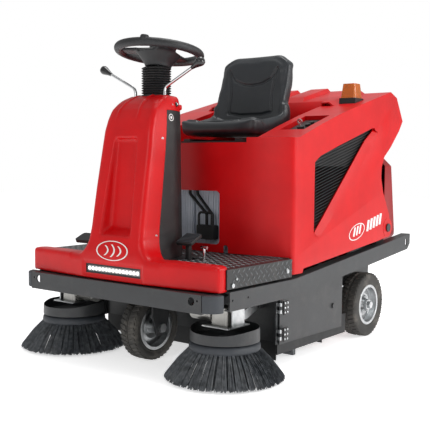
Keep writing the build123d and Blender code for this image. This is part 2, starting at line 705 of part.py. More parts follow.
def drive_unit():
    """Gearmotor behind each arch plate, turning its stub axle."""
    case = cyl_x(332, 384 - FIT_GAP, REAR_Y, REAR_R, 42)
    case += block(296, 332, REAR_Y - 40, REAR_Y + 40, REAR_R - 36, REAR_R + 120)
    case += cyl_x(332, 380, REAR_Y, REAR_R + 92, 30)
    case -= cyl_x(328, 400, REAR_Y, REAR_R, AXLE_R + 0.02)
    return both(case)


# ---- side brushes --------------------------------------------------------
def brush_arm():
    """Lifting arm from the bulkhead ears to the motor plate."""
    x0, x1 = ARM_X - 24, ARM_X + 24
    arm = prism_x([(ARM_PIVOT_Y + 8, ARM_PIVOT_Z - 12), (ARM_PIVOT_Y + 8, ARM_PIVOT_Z + 10),
                   (ARM_PIVOT_Y - 20, ARM_PIVOT_Z + 14), (BRUSH_Y + 60, SHROUD_Z1 + 16),
                   (BRUSH_Y + 60, SHROUD_Z1 + 1), (ARM_PIVOT_Y - 90, SHROUD_Z1 + 2)], x0, x1)
    arm -= block(x0 + 5, x1 - 5, BRUSH_Y + 70, ARM_PIVOT_Y + 9, SHROUD_Z1 - 40, ARM_PIVOT_Z + 30)
    plate = block(BRUSH_X - 60, BRUSH_X + 60, BRUSH_Y - 60, BRUSH_Y + 70, SHROUD_Z1 + 0.4, SHROUD_Z1 + 5)
    arm += plate
    arm -= cyl_z(100, 300, BRUSH_X, BRUSH_Y, 17)
    arm -= cyl_x(x0 - 1, x1 + 1, ARM_PIVOT_Y, ARM_PIVOT_Z, 6 + SHAFT_GAP)
    # upright bracket beside the motor
    arm += block(BRUSH_X + 52, BRUSH_X + 58, BRUSH_Y - 30, BRUSH_Y + 40, SHROUD_Z1 + 3, MOTOR_Z + 26)
    return arm


def brush_motor():
    """Worm gearbox over the brush with the motor lying across the machine."""
    z0 = SHROUD_Z1 + 5.4
    box = fillet(block(BRUSH_X - 40, BRUSH_X + 34, BRUSH_Y - 34, BRUSH_Y + 34, z0, MOTOR_Z + 28).edges()
                 .filter_by(Axis.Z), 10)
    motor = cyl_x(BRUSH_X - 142, BRUSH_X - 40, BRUSH_Y, MOTOR_Z, MOTOR_R)
    ring = cyl_x(BRUSH_X - 50, BRUSH_X - 40, BRUSH_Y, MOTOR_Z, MOTOR_R + 5)
    box -= cyl_z(0, MOTOR_Z + 8, BRUSH_X, BRUSH_Y, 14 + SHAFT_GAP)
    neck = cyl_z(SHROUD_Z1 - 10, z0 + 1, BRUSH_X, BRUSH_Y, 16.8) - cyl_z(0, 400, BRUSH_X, BRUSH_Y, 14 + SHAFT_GAP)
    return box + motor + ring + neck


def brush_shroud():
    """Dust shroud: flat ring with a skirt, open towards the machine."""
    plate = cyl_z(SHROUD_Z1 - 3, SHROUD_Z1, BRUSH_X, BRUSH_Y, SHROUD_R)
    skirt = cyl_z(SHROUD_Z0, SHROUD_Z1, BRUSH_X, BRUSH_Y, SHROUD_R)
    skirt -= cyl_z(SHROUD_Z0 - 1, SHROUD_Z1 - 3, BRUSH_X, BRUSH_Y, SHROUD_R - 3)
    body = plate + skirt
    body -= cyl_z(0, 300, BRUSH_X, BRUSH_Y, 40)
    body -= Pos(BRUSH_X - 70, BRUSH_Y + 105, 170) * Rot(0, 0, 35) * Box(240, 90, 80)
    return body


def brush_hub():
    """Collar that clamps the bristles, on the motor's output shaft."""
    z0 = BRUSH_ROOT_Z
    hub = spin_z([(0, z0), (HUB_R - 4, z0), (HUB_R, z0 + 6), (HUB_R, z0 + HUB_H - 2), (HUB_R - 14, z0 + HUB_H),
                  (30, z0 + HUB_H + 2), (14, z0 + HUB_H + 10), (14, MOTOR_Z), (0, MOTOR_Z)], BRUSH_X, BRUSH_Y)
    return hub


def bristles():
    """Ring of bristles, spreading towards the floor."""
    z0, z1 = BRUSH_LIFT_Z, BRUSH_ROOT_Z - 0.02
    return spin_z([(BRUSH_ROOT_R - 34, z1), (BRUSH_ROOT_R, z1), (BRUSH_R - 34, 44), (BRUSH_R, z0 + 4), (BRUSH_R - 6, z0),
                   (BRUSH_R - 62, z0)], BRUSH_X, BRUSH_Y)


# ---- main brush, doors, skirts, hopper -----------------------------------
def main_brush():
    z = MAIN_R + BRUSH_LIFT_Z
    core = cyl_x(-MAIN_HALF, MAIN_HALF, MAIN_Y, z, MAIN_CORE_R)
    core += cyl_x(-MAIN_HALF - 14, MAIN_HALF + 14, MAIN_Y, z, 15)
    for i in range(10):
        strip = Pos(0, MAIN_Y, z) * Rot(36 * i, 0, 0) * Pos(0, 0, (MAIN_CORE_R + MAIN_R) / 2 - 3)
        core += strip * Box(2 * MAIN_HALF - 10, 20, MAIN_R - MAIN_CORE_R + 5)
    return core & cyl_x(-MAIN_HALF - 20, MAIN_HALF + 20, MAIN_Y, z, MAIN_R)


def side_door():
    slope = rail_bottom(DOOR_Y1) - RAIL_TOP + RAIL_H
    pts = [(DOOR_Y0, DOOR_Z0 + 4), (DOOR_Y1, DOOR_Z0 - 4), (DOOR_Y1, DOOR_Z1 + slope), (RAIL_KINK, DOOR_Z1),
           (DOOR_Y0, DOOR_Z1)]
    door = prism_x(pts, DOOR_X, DOOR_X + SHEET)
    door += block(DOOR_X, DOOR_X + 3, DOOR_Y0, DOOR_Y1, DOOR_Z0 + 2, DOOR_Z0 + 12)
    door += cyl_x(DOOR_X + 2, DOOR_X + 9, 849, 183, 11)
    for z in HINGE_ZS:
        leaf = block(DOOR_X + SHEET - 0.5, DOOR_X + SHEET + 3, HINGE_Y + 8, HINGE_Y + 42, z - 19, z + 19)
        arm = block(DOOR_X + SHEET - 0.5, HINGE_X, HINGE_Y - 1, HINGE_Y + 10, z - 6.5, z + 6.5)
        knuckle = cyl_z(z - 6.5, z + 6.5, HINGE_X, HINGE_Y, KNUCKLE_R)
        door += leaf + arm + knuckle
        door -= cyl_z(z - 20, z + 20, HINGE_X, HINGE_Y, PIN_R + SHAFT_GAP)
    return door


def door_hinges():
    parts = []
    post = BULK_HALF + 6
    for z in HINGE_ZS:
        pin = cyl_z(z - 21, z + 21, HINGE_X, HINGE_Y, PIN_R)
        for dz in (-13.5, 13.5):
            pin += cyl_z(z + dz - 6.5, z + dz + 6.5, HINGE_X, HINGE_Y, KNUCKLE_R)
            pin += block(post + 0.1, HINGE_X - 2, HINGE_Y - 7, HINGE_Y - 3, z + dz - 6.5, z + dz + 6.5)
        pin += block(post + 0.1, post + 3, HINGE_Y - 8, HINGE_Y - 3, z - 20, z + 20)
        parts.append(pin)
    return Compound([s for p in parts for s in (p, other_side(p))])


def rubber_skirts():
    strips = [block(-BULK_HALF + 8, BULK_HALF - 8, BULK_Y + STEEL + 0.1, BULK_Y + STEEL + 4, 22, 150),
              block(-BULK_HALF + 8, BULK_HALF - 8, HOPPER_Y0 - 20, HOPPER_Y0 - 15, 30, 262)]
    side = block(MAIN_HALF + 22, MAIN_HALF + 26, BULK_Y + 8, 990, 44, 128)
    return Compound(strips + [side, other_side(side)])


def hopper():
    """Waste drawer with its rear panel; slides out backwards."""
    tub = block(-HOPPER_HALF, HOPPER_HALF, HOPPER_Y0, PANEL_Y + 1, HOPPER_Z0, HOPPER_Z1)
    tub -= block(-HOPPER_HALF + 4, HOPPER_HALF - 4, HOPPER_Y0 - 1, PANEL_Y - 3, HOPPER_Z0 + 4, HOPPER_Z1 + 1)
    panel = rear_panel() - rear_panel(WALL)
    panel -= block(-500, 500, PANEL_Y - 200, PANEL_Y - 52, 0, 900)
    panel -= block(-HOPPER_HALF + 4, HOPPER_HALF - 4, HOPPER_Y0, PANEL_Y - 3, 0, HOPPER_Z1 + 1)
    panel += rear_panel() & block(-170, 170, PANEL_Y - 8, PANEL_Y + 60, 540, 660)
    panel -= block(-150, 150, PANEL_Y + 6, PANEL_Y + 90, 560, 640)
    bar = block(-151, 151, PANEL_Y + 16, PANEL_Y + 30, 612, 630)
    return tub + panel + bar


def rear_panel(e=0.0):
    """Moulded rear face of the waste drawer, leaning out towards its foot."""
    side = [(PANEL_Y - 60, 300 + e), (PANEL_Y + 50 - e, 300 + e), (PANEL_Y + 66 - e, 460),
            (PANEL_Y + 4 - e, PANEL_TOP - e), (PANEL_Y - 60, PANEL_TOP - e)]
    body = prism_x(side, -PANEL_HALF + e, PANEL_HALF - e)
    corner = 70
    mask = prism_y([(-PANEL_HALF + e, 440), (-HOPPER_HALF - 60 + e, 300), (HOPPER_HALF + 60 - e, 300),
                    (PANEL_HALF - e, 440), (PANEL_HALF - e, PANEL_TOP - corner),
                    (PANEL_HALF - corner, PANEL_TOP - e), (-PANEL_HALF + corner, PANEL_TOP - e),
                    (-PANEL_HALF + e, PANEL_TOP - corner)], PANEL_Y - 100, PANEL_Y + 100)
    return body & mask


def dust_filter():
    body = block(-HOPPER_HALF + 10, HOPPER_HALF - 10, 880, 1240, 356, 470)
    for i in range(16):
        y = 890 + i * 22
        body -= block(-HOPPER_HALF + 16, HOPPER_HALF - 16, y, y + 10, 350, 440)
    return body


def suction_fan():
    y, z = 1318, 470
    body = cyl_z(z, z + 70, 0, y, 96) + cyl_z(z + 69, z + 170, 0, y, 55)
    return body + block(-60, 60, y - 14, y + 96, z, z + 60)


# ---- hood ----------------------------------------------------------------
def hood_profile():
    return [(HOOD_FRONT, 418), (HOOD_FRONT, DECK_Z + 20), (HOOD_SIDE_Y + 14, SHOULDER_Z - 2),
            (SHOULDER_Y, SHOULDER_Z), (700, 937), (851, 985), (1000, 1027), (1180, 1073), (1327, 1112),
            (1392, 1089), (1429, 1034), (1462, 984), (1426, 938), (1380, 896), (1342, 861), (1276, 814),
            (1252, 768), (1250, 716), (1272, 655), (1305, 602), (1342, 545), (1352, 500), (1340, 445),
            (1233, 431), (584, 369), (577, 352), (HOOD_SIDE_Y, 352), (HOOD_SIDE_Y, 418)]


def hood_body(e=0.0):
    """Closed hood shape; e moves every face inwards."""
    face = outline(hood_profile())
    if e:
        face = offset(face, -e, kind=Kind.INTERSECTION)
    half = HOOD_HALF - e
    body = extrude(Plane.YZ.offset(-half) * face, 2 * half)
    # the front face sweeps back towards the sides
    for side in (-1, 1):
        pts = [(side * x, HOOD_FRONT + sweep_back + e) for x, sweep_back in HOOD_BOW]
        pts += [(side * (HOOD_HALF - e), HOOD_SIDE_Y + e), (side * (HOOD_HALF + 10), HOOD_SIDE_Y + e),
                (side * (HOOD_HALF + 10), HOOD_FRONT - 20), (side * HOOD_BOW[0][0], HOOD_FRONT - 20)]
        body -= prism_z(pts, 300, 1200)
    # crowned top with three raised ridges
    body += loft([top_rib(-CROWN_HALF + e, -e), top_rib(-CROWN_HALF + 26 + e, CROWN - e),
                  top_rib(CROWN_HALF - 26 - e, CROWN - e), top_rib(CROWN_HALF - e, -e)], ruled=True)
    for x in RIDGE_EDGES:
        body += loft([top_rib(x - RIDGE_W + e, CROWN - e), top_rib(x - RIDGE_W + 60 + e, CROWN + RIDGE_H - e),
                      top_rib(x - 12 - e, CROWN + RIDGE_H - e), top_rib(x - e, CROWN - e)], ruled=True)
    body -= trough(e)
    return body


def top_rib(x, rise):
    """Lengthwise section of the hood's top at X = x, raised above the side line."""
    pts = [(1040, 990), (1040, 1036 + rise), (1180, 1073 + rise), (1327, 1112 + rise),
           (1388, 1090 + rise * 0.8), (1420, 1046 + min(rise, 0)), (1400, 990)]
    return Plane.YZ.offset(x) * make_face(Polyline(*pts, close=True))


def trough(e=0.0):
    """Space above the seat deck, between the shoulders."""
    pts = [(HOOD_FRONT - 20, DECK_Z - e), (TROUGH_BACK - 60 + e, DECK_Z - e), (TROUGH_BACK - 30 + e, 980),
           (TROUGH_BACK + e, 1060), (TROUGH_BACK + 40 + e, 1092 - e), (TROUGH_BACK + 90, 1300),
           (HOOD_FRONT - 20, 1300)]
    return prism_x(pts, -TROUGH_HALF - e, TROUGH_HALF + e)


def side_window(x0, x1, grow=0.0):
    g = grow
    pts = [(657 - g, 512 - g * 2), (676 + g, 500 - g * 2), (800 + g * 0.7, 612), (960 + g * 0.7, 757), (1100 + g * 0.7, 884),
           (1196 + g, 944 + g), (1150, 940 + g), (1032, 907 + g), (856, 858 + g), (700, 812 + g),
           (657 - g, 786 + g)]
    return prism_x(pts, x0, x1, 7)


def window_bevel(x, spread, grow=0.0):
    """Outline at X = x of the window, with its long lower edge moved out by spread."""
    g, s = grow, spread
    pts = [(657 - g, 512 - g * 2 - s * 0.5), (676 + s * 0.55, 500 - g * 2 - s * 0.42), (800 + g + s * 0.72, 612 - s * 0.75),
           (960 + g + s * 0.72, 757 - s * 0.75), (1100 + g + s * 0.7, 884 - s * 0.72), (1196 + g + s * 0.3, 944 + g - s * 0.5),
           (1150, 940 + g), (1032, 907 + g), (856, 858 + g), (700, 812 + g), (657 - g, 786 + g)]
    return Plane.YZ.offset(x) * make_face(Polyline(*pts, close=True))


def rear_hood():
    hood = hood_body()
    void = hood_body(WALL)
    void += block(-HOOD_HALF + WALL, HOOD_HALF - WALL, 582, 1252, 300, 460)
    void += block(-PANEL_HALF - 12, PANEL_HALF + 12, 1200, 1446, 300, PANEL_TOP + 30)
    void += block(-HOOD_HALF + WALL, HOOD_HALF - WALL, 1200, 1446, 300, PIVOT_Z + 80)
    void += block(-HOOD_HALF + WALL, HOOD_HALF - WALL, HOOD_SIDE_Y + WALL, 600, 300, 460)
    low = [(-HOOD_HALF + WALL, 620)] + [(-x, HOOD_FRONT + y + WALL) for x, y in reversed(HOOD_BOW)]
    low += [(x, HOOD_FRONT + y + WALL) for x, y in HOOD_BOW] + [(HOOD_HALF - WALL, 620)]
    void += prism_z(low, 300, 470)
    void += prism_x([(1200, 300), (1335, 300), (1345, 545), (1300, 600), (1200, 640)],
                    -HOOD_HALF + WALL, HOOD_HALF - WALL)
    hood -= void
    # front window, cable notch, side windows
    hood -= prism_y([(-WINDOW_HALF, WINDOW_Z0), (WINDOW_HALF, WINDOW_Z0), (WINDOW_HALF, WINDOW_Z1),
                     (-WINDOW_HALF, WINDOW_Z1)], HOOD_FRONT - 5, HOOD_FRONT + 12, 16)
    hood -= cyl_y(HOOD_FRONT - 5, HOOD_FRONT + 12, 196, 438, 12) + block(184, 208, HOOD_FRONT - 5, HOOD_FRONT + 12,
                                                                        400, 438)
    lip = HOOD_HALF - BEVEL_DEPTH
    for side in (-1, 1):
        backing = loft([window_bevel(side * (HOOD_HALF - 1), BEVEL_W + 12, 6),
                        window_bevel(side * (lip - WALL), BEVEL_W * 0.2 + 12, 6)], ruled=True)
        hood += backing & hood_body(0.5)
        hood -= loft([window_bevel(side * (HOOD_HALF + 1), BEVEL_W * (1 + 1 / BEVEL_DEPTH)),
                      window_bevel(side * lip, 0)], ruled=True)
    hood -= side_window(-HOOD_HALF - 5, HOOD_HALF + 5)
    # control recess on the left shoulder
    hood += (shoulder_place() * (Pos(0, 0, -12) * Box(128, 220, 30))) & hood_body(1)
    hood -= shoulder_place() * Box(118, 210, 44)
    # pivot bosses
    for side in (-1, 1):
        a, b = sorted((side * 474, side * (HOOD_HALF + 1)))
        hood += cyl_x(a, b, PIVOT_Y, PIVOT_Z, BOSS_R)
        hood -= cyl_x(a - 5, b + 5, PIVOT_Y, PIVOT_Z, PIVOT_R + SHAFT_GAP)
    return hood


def shoulder_place():
    """Middle of the control recess, local Z square to the sloping shoulder."""
    y = 742
    z = SHOULDER_Z + (y - SHOULDER_Y) * math.tan(math.radians(SHOULDER_SLOPE))
    return Pos(388, y, z) * Rot(SHOULDER_SLOPE, 0, 0)


def control_panel():
    plate = Pos(0, 0, -19.3) * fillet(Box(112, 204, 4).edges().filter_by(Axis.Z), 8)
    barrel = Pos(6, -48, -10) * Cylinder(15, 16)
    parts = plate + barrel
    for y in (10, 42):
        parts += Pos(6, y, -13) * Cylinder(12, 10)
    parts -= Pos(6, -48, -8) * Cylinder(4 + SHAFT_GAP, 30)
    return shoulder_place() * parts


def ignition_key():
    stem = Pos(6, -48, -2) * Cylinder(4, 24)
    bow = Pos(6, -48, 18) * Rot(90, 0, 0) * (Cylinder(12, 3.5) - Cylinder(5, 5))
    return shoulder_place() * (stem + bow)


def side_grilles():
    """Louvre panel behind each side window."""
    back = HOOD_HALF - BEVEL_DEPTH - WALL - 1
    frame = side_window(back - 11, back, 10)
    frame -= side_window(back - 7, HOOD_HALF, -3)
    for i in range(24):
        y = 670 + i * 22
        frame -= Pos(back - 7, y, 700) * Rot(0, 0, 40) * Box(3, 12, 900)
    return both(frame)


def beacon_base():
    base = block(360, 440, 1076, 1154, 1020, 1072)
    return base - hood_body()


def beacon_lens():
    pts = [(-37, -36), (37, -36), (37, 36), (-37, 36)]
    low = Plane.XY.offset(1072.3) * Pos(400, 1115) * outline(pts, 10)
    high = Plane.XY.offset(1136) * Pos(400, 1115) * outline([(x * 0.8, y * 0.8) for x, y in pts], 8)
    lens = loft([low, high])
    low = Plane.XY.offset(1072.2) * Pos(400, 1115) * outline([(x * 0.9, y * 0.9) for x, y in pts], 8)
    high = Plane.XY.offset(1132) * Pos(400, 1115) * outline([(x * 0.7, y * 0.7) for x, y in pts], 6)
    return lens - loft([low, high])


# ---- seat ----------------------------------------------------------------
def seat_base():
    base = block(-BASE_HALF, BASE_HALF, SEAT_FRONT - 4, 950, DECK_Z + 0.2, DECK_Z + 12)
    for side in (-1, 1):
        x = side * 140
        base += block(x - 18, x + 18, SEAT_FRONT, 940, DECK_Z + 11, SEAT_BOTTOM - 16)
    return base


def seat_pad():
    """One-piece pan seat: cushion and backrest."""
    t = SEAT_THICK
    pts = [(SEAT_FRONT, SEAT_BOTTOM), (900, SEAT_BOTTOM - 4), (950, SEAT_BOTTOM + 10), (972, 960), (SEAT_BACK, SEAT_TOP - 40),
           (SEAT_BACK - 12, SEAT_TOP), (SEAT_BACK - 44, SEAT_TOP - 2), (SEAT_BACK - 78, SEAT_TOP - 60),
           (900, 985), (868, 952), (760, 944), (660, 962), (SEAT_FRONT + 8, 958)]
    body = prism_x(pts, -SEAT_HALF, SEAT_HALF)
    side_cut = []
    for side in (-1, 1):
        pts = [(side * SEAT_HALF, 1010), (side * 190, 1240), (side * 160, 1300), (side * 300, 1300),
               (side * 300, 1010)]
        side_cut.append(prism_y(pts, 500, 1100))
        pts = [(side * SEAT_HALF, 700), (side * 196, 600), (side * 300, 600), (side * 300, 700)]
        side_cut.append(prism_z(pts, 880, 1000))
    body -= join(*side_cut)
    body += block(-120, 120, 650, 930, SEAT_BOTTOM - 15, SEAT_BOTTOM + 6)
    for side in (-1, 1):
        x = side * 140
        body += block(x - 14, x + 14, 680, 910, SEAT_BOTTOM - 15.7, SEAT_BOTTOM + 4)
    return body


# ---- battery -------------------------------------------------------------
def battery():
    parts = []
    for side in (-1, 1):
        a, b = sorted((side * BATT_SPLIT / 2, side * BATT_HALF))
        cell = block(a, b, BATT_Y0, BATT_Y0 + BATT_LEN, BATT_Z0, BATT_Z0 + BATT_H - 20)
        n = 18
        step = (b - a) / n
        for i in range(n):
            x = a + step * (i + 0.5)
            cell -= block(x - step / 4, x + step / 4, BATT_Y0 - 1, BATT_Y0 + 3, BATT_Z0 + 10, BATT_Z0 + BATT_H - 40)
        cell += block(a + 2, b - 2, BATT_Y0 + 2, BATT_Y0 + BATT_LEN - 2, BATT_Z0 + BATT_H - 21, BATT_Z0 + BATT_H)
        parts.append(cell)
    return Compound(parts)


def battery_connector():
    y0, y1 = HOOD_FRONT + WALL + 6, BATT_Y0 - 4
    body = fillet(block(39, 129, y0, y1, 466, 524).edges().filter_by(Axis.Y), 6)
    y = y0 + 6
    path = FilletPolyline((47, y, 520), (47, y, 576), (121, y, 576), (121, y, 520), radius=14)
    handle = sweep(Plane(origin=(47, y, 520), z_dir=(0, 0, 1)) * Circle(5), path=path)
    foot = block(60, 108, y1 - 8, BATT_Y0 - 0.1, 474, 512)
    return body + handle + foot


def battery_cables():
    y = BATT_Y0 - CABLE_R - 2
    top = BATT_Z0 + BATT_H
    parts = []
    for x, end in ((70, -20), (98, 20)):
        pts = [(x, y, 524.1), (x, y, 570), (end, y, 650), (end, y, top + 24), (end, y + 90, top + 24),
               (end, y + 90, top + 0.2)]
        parts.append(rod_along(pts, CABLE_R, 14))
    return Compound(parts)


PARTS = {
    "chassis_frame": chassis_frame, "front_bumper_bar": front_bumper_bar, "side_rails": side_rails,
    "corner_bumpers": corner_bumpers, "platform_plate": platform_plate, "body_screws": body_screws,
    "front_fairing": front_fairing, "column_cover": column_cover, "led_housing": led_housing,
    "led_lens": led_lens, "bellows": bellows, "rear_axle": rear_axle, "drive_unit": drive_unit,
    "door_hinges": door_hinges, "rubber_skirts": rubber_skirts, "battery": battery,
    "battery_connector": battery_connector, "battery_cables": battery_cables, "suction_fan": suction_fan,
    "dust_filter": dust_filter, "steering_shaft": steering_shaft, "steering_wheel": steering_wheel,
    "steering_hub": steering_hub, "steer_fork": steer_fork, "front_axle": front_axle,
    "front_tyre": lambda: tyre(-TYRE_W / 2, TYRE_W / 2, FRONT_Y, FRONT_R, 22),
    "front_rim": lambda: rim(-TYRE_W / 2, TYRE_W / 2, FRONT_Y, FRONT_R, AXLE_R + SHAFT_GAP,
                             -TYRE_W / 2 - 8, TYRE_W / 2 + 8),
    "main_brush": main_brush, "drive_pedal": drive_pedal, "flap_pedal": flap_pedal, "brake_rod": brake_rod,
    "rear_hood": rear_hood, "side_grilles": side_grilles, "beacon_base": beacon_base,
    "beacon_lens": beacon_lens, "control_panel": control_panel, "ignition_key": ignition_key,
    "seat_base": seat_base, "seat_pad": seat_pad, "hopper": hopper,
}
SIDED = {
    "rear_tyre": lambda: tyre(REAR_OUT - TYRE_W, REAR_OUT, REAR_Y, REAR_R, 24),
    "rear_rim": lambda: rim(REAR_OUT - TYRE_W, REAR_OUT, REAR_Y, REAR_R, AXLE_R + SHAFT_GAP,
                            REAR_OUT - TYRE_W - 7, REAR_OUT - 4),
    "brush_arm": brush_arm, "brush_motor": brush_motor, "brush_shroud": brush_shroud,
    "brush_hub": brush_hub, "bristles": bristles, "side_door": side_door,
    "lever": lever, "lever_knob": lever_knob,
}


def save(name, shape):
    export_step(shape.moved(Location((0, -MID, 0))), f"parts/{name}.step")


def main():
    os.makedirs("parts", exist_ok=True)
    for name, make in PARTS.items():
        save(name, make())
    for name, make in SIDED.items():
        shape = make()
        save(f"{name}_left", shape)
        save(f"{name}_right", other_side(shape))


if __name__ == "__main__":
    main()
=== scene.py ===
"""Looks of a battery ride-on sweeper, on the frame of its CAD model.

Everything is in metres in the CAD model's own frame: +Z up, -Y to the front
bumper, +X to the machine's left. CAD nodes keep their place; pieces made here
ride on the CAD bodies by name.
"""
from __future__ import annotations

import json
import logging
import math
import random
from dataclasses import dataclass
from enum import Enum
from typing import Callable, Sequence

import bmesh
import bpy
from mathutils import Matrix, Vector

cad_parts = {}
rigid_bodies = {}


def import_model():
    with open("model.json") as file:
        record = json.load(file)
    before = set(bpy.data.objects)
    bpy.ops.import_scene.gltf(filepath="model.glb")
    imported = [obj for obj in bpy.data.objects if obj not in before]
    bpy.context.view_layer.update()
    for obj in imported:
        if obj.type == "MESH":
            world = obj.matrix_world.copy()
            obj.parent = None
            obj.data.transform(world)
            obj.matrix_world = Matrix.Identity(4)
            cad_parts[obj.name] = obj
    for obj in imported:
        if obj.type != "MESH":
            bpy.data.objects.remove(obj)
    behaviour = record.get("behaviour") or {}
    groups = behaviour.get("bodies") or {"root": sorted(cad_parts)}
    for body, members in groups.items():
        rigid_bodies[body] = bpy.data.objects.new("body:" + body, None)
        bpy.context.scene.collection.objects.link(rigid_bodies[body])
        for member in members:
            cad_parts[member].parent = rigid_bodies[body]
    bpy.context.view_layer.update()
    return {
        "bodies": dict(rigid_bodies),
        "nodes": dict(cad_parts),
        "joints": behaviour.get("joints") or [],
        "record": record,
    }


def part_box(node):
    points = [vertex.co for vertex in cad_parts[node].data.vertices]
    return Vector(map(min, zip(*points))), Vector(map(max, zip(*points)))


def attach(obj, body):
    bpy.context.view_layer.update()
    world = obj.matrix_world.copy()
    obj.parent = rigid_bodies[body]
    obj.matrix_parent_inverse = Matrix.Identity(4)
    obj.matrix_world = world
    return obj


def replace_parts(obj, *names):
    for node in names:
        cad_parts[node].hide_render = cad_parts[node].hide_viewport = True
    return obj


LOG = logging.getLogger("sweeper")
MM = 0.001
MID = 0.764  # distance from the bumper face to the model's origin
UP = Vector((0, 0, 1))
SIDES = (("left", 1), ("right", -1))  # name and sign of X
SENSOR_MM = 36.0
WELD_M = 2e-6  # points of a CAD mesh closer than this are one
FLAT_DEG = 0.6  # CAD triangles this flat to each other are one face


def at(x: float, d: float, z: float) -> Vector:
    """Point from millimetres, with d counted back from the bumper face.

    Args:
        x: Millimetres to the machine's left.
        d: Millimetres behind the bumper face.
        z: Millimetres above the floor.

    Returns:
        The point in metres in the model's frame.
    """
    return Vector((x * MM, d * MM - MID, z * MM))


# --------------------------------------------------------------------------
# Finishes
# --------------------------------------------------------------------------
class Relief(Enum):
    """How a surface was left by its making."""

    MOULDED = "fine moulded grain"
    GLOSS_SKIN = "gloss skin with slow waves"
    POWDER = "powder coat orange peel"
    SPANGLE = "zinc spangle"
    CAST = "sand cast"
    LEATHER = "pebbled vinyl"
    RIBBED = "fine ribs"


def linear(hex_colour: str) -> tuple[float, float, float, float]:
    """Turn an sRGB hex value to linear RGBA.

    Args:
        hex_colour: Six hex digits.

    Returns:
        Linear red, green, blue and an alpha of one.
    """
    parts = [int(hex_colour[i:i + 2], 16) / 255 for i in (0, 2, 4)]
    out = [c / 12.92 if c <= 0.04045 else ((c + 0.055) / 1.055) ** 2.4 for c in parts]
    return (out[0], out[1], out[2], 1.0)


def add_node(
    tree: bpy.types.NodeTree,
    kind: str,
    settings: dict[str, object] | None = None,
    links: dict[str, bpy.types.NodeSocket] | None = None,
) -> bpy.types.Node:
    """Add a node with its settings and input links.

    Args:
        tree: Node tree to add to.
        kind: Node type name.
        settings: Node properties, or input socket names and their values.
        links: Input socket names and the sockets that feed them.

    Returns:
        The new node.
    """
    node = tree.nodes.new(kind)
    for key, value in (settings or {}).items():
        if key in node.inputs:
            node.inputs[key].default_value = value
        else:
            setattr(node, key, value)
    for key, source in (links or {}).items():
        tree.links.new(source, node.inputs[int(key) if key.isdigit() else key])
    return node


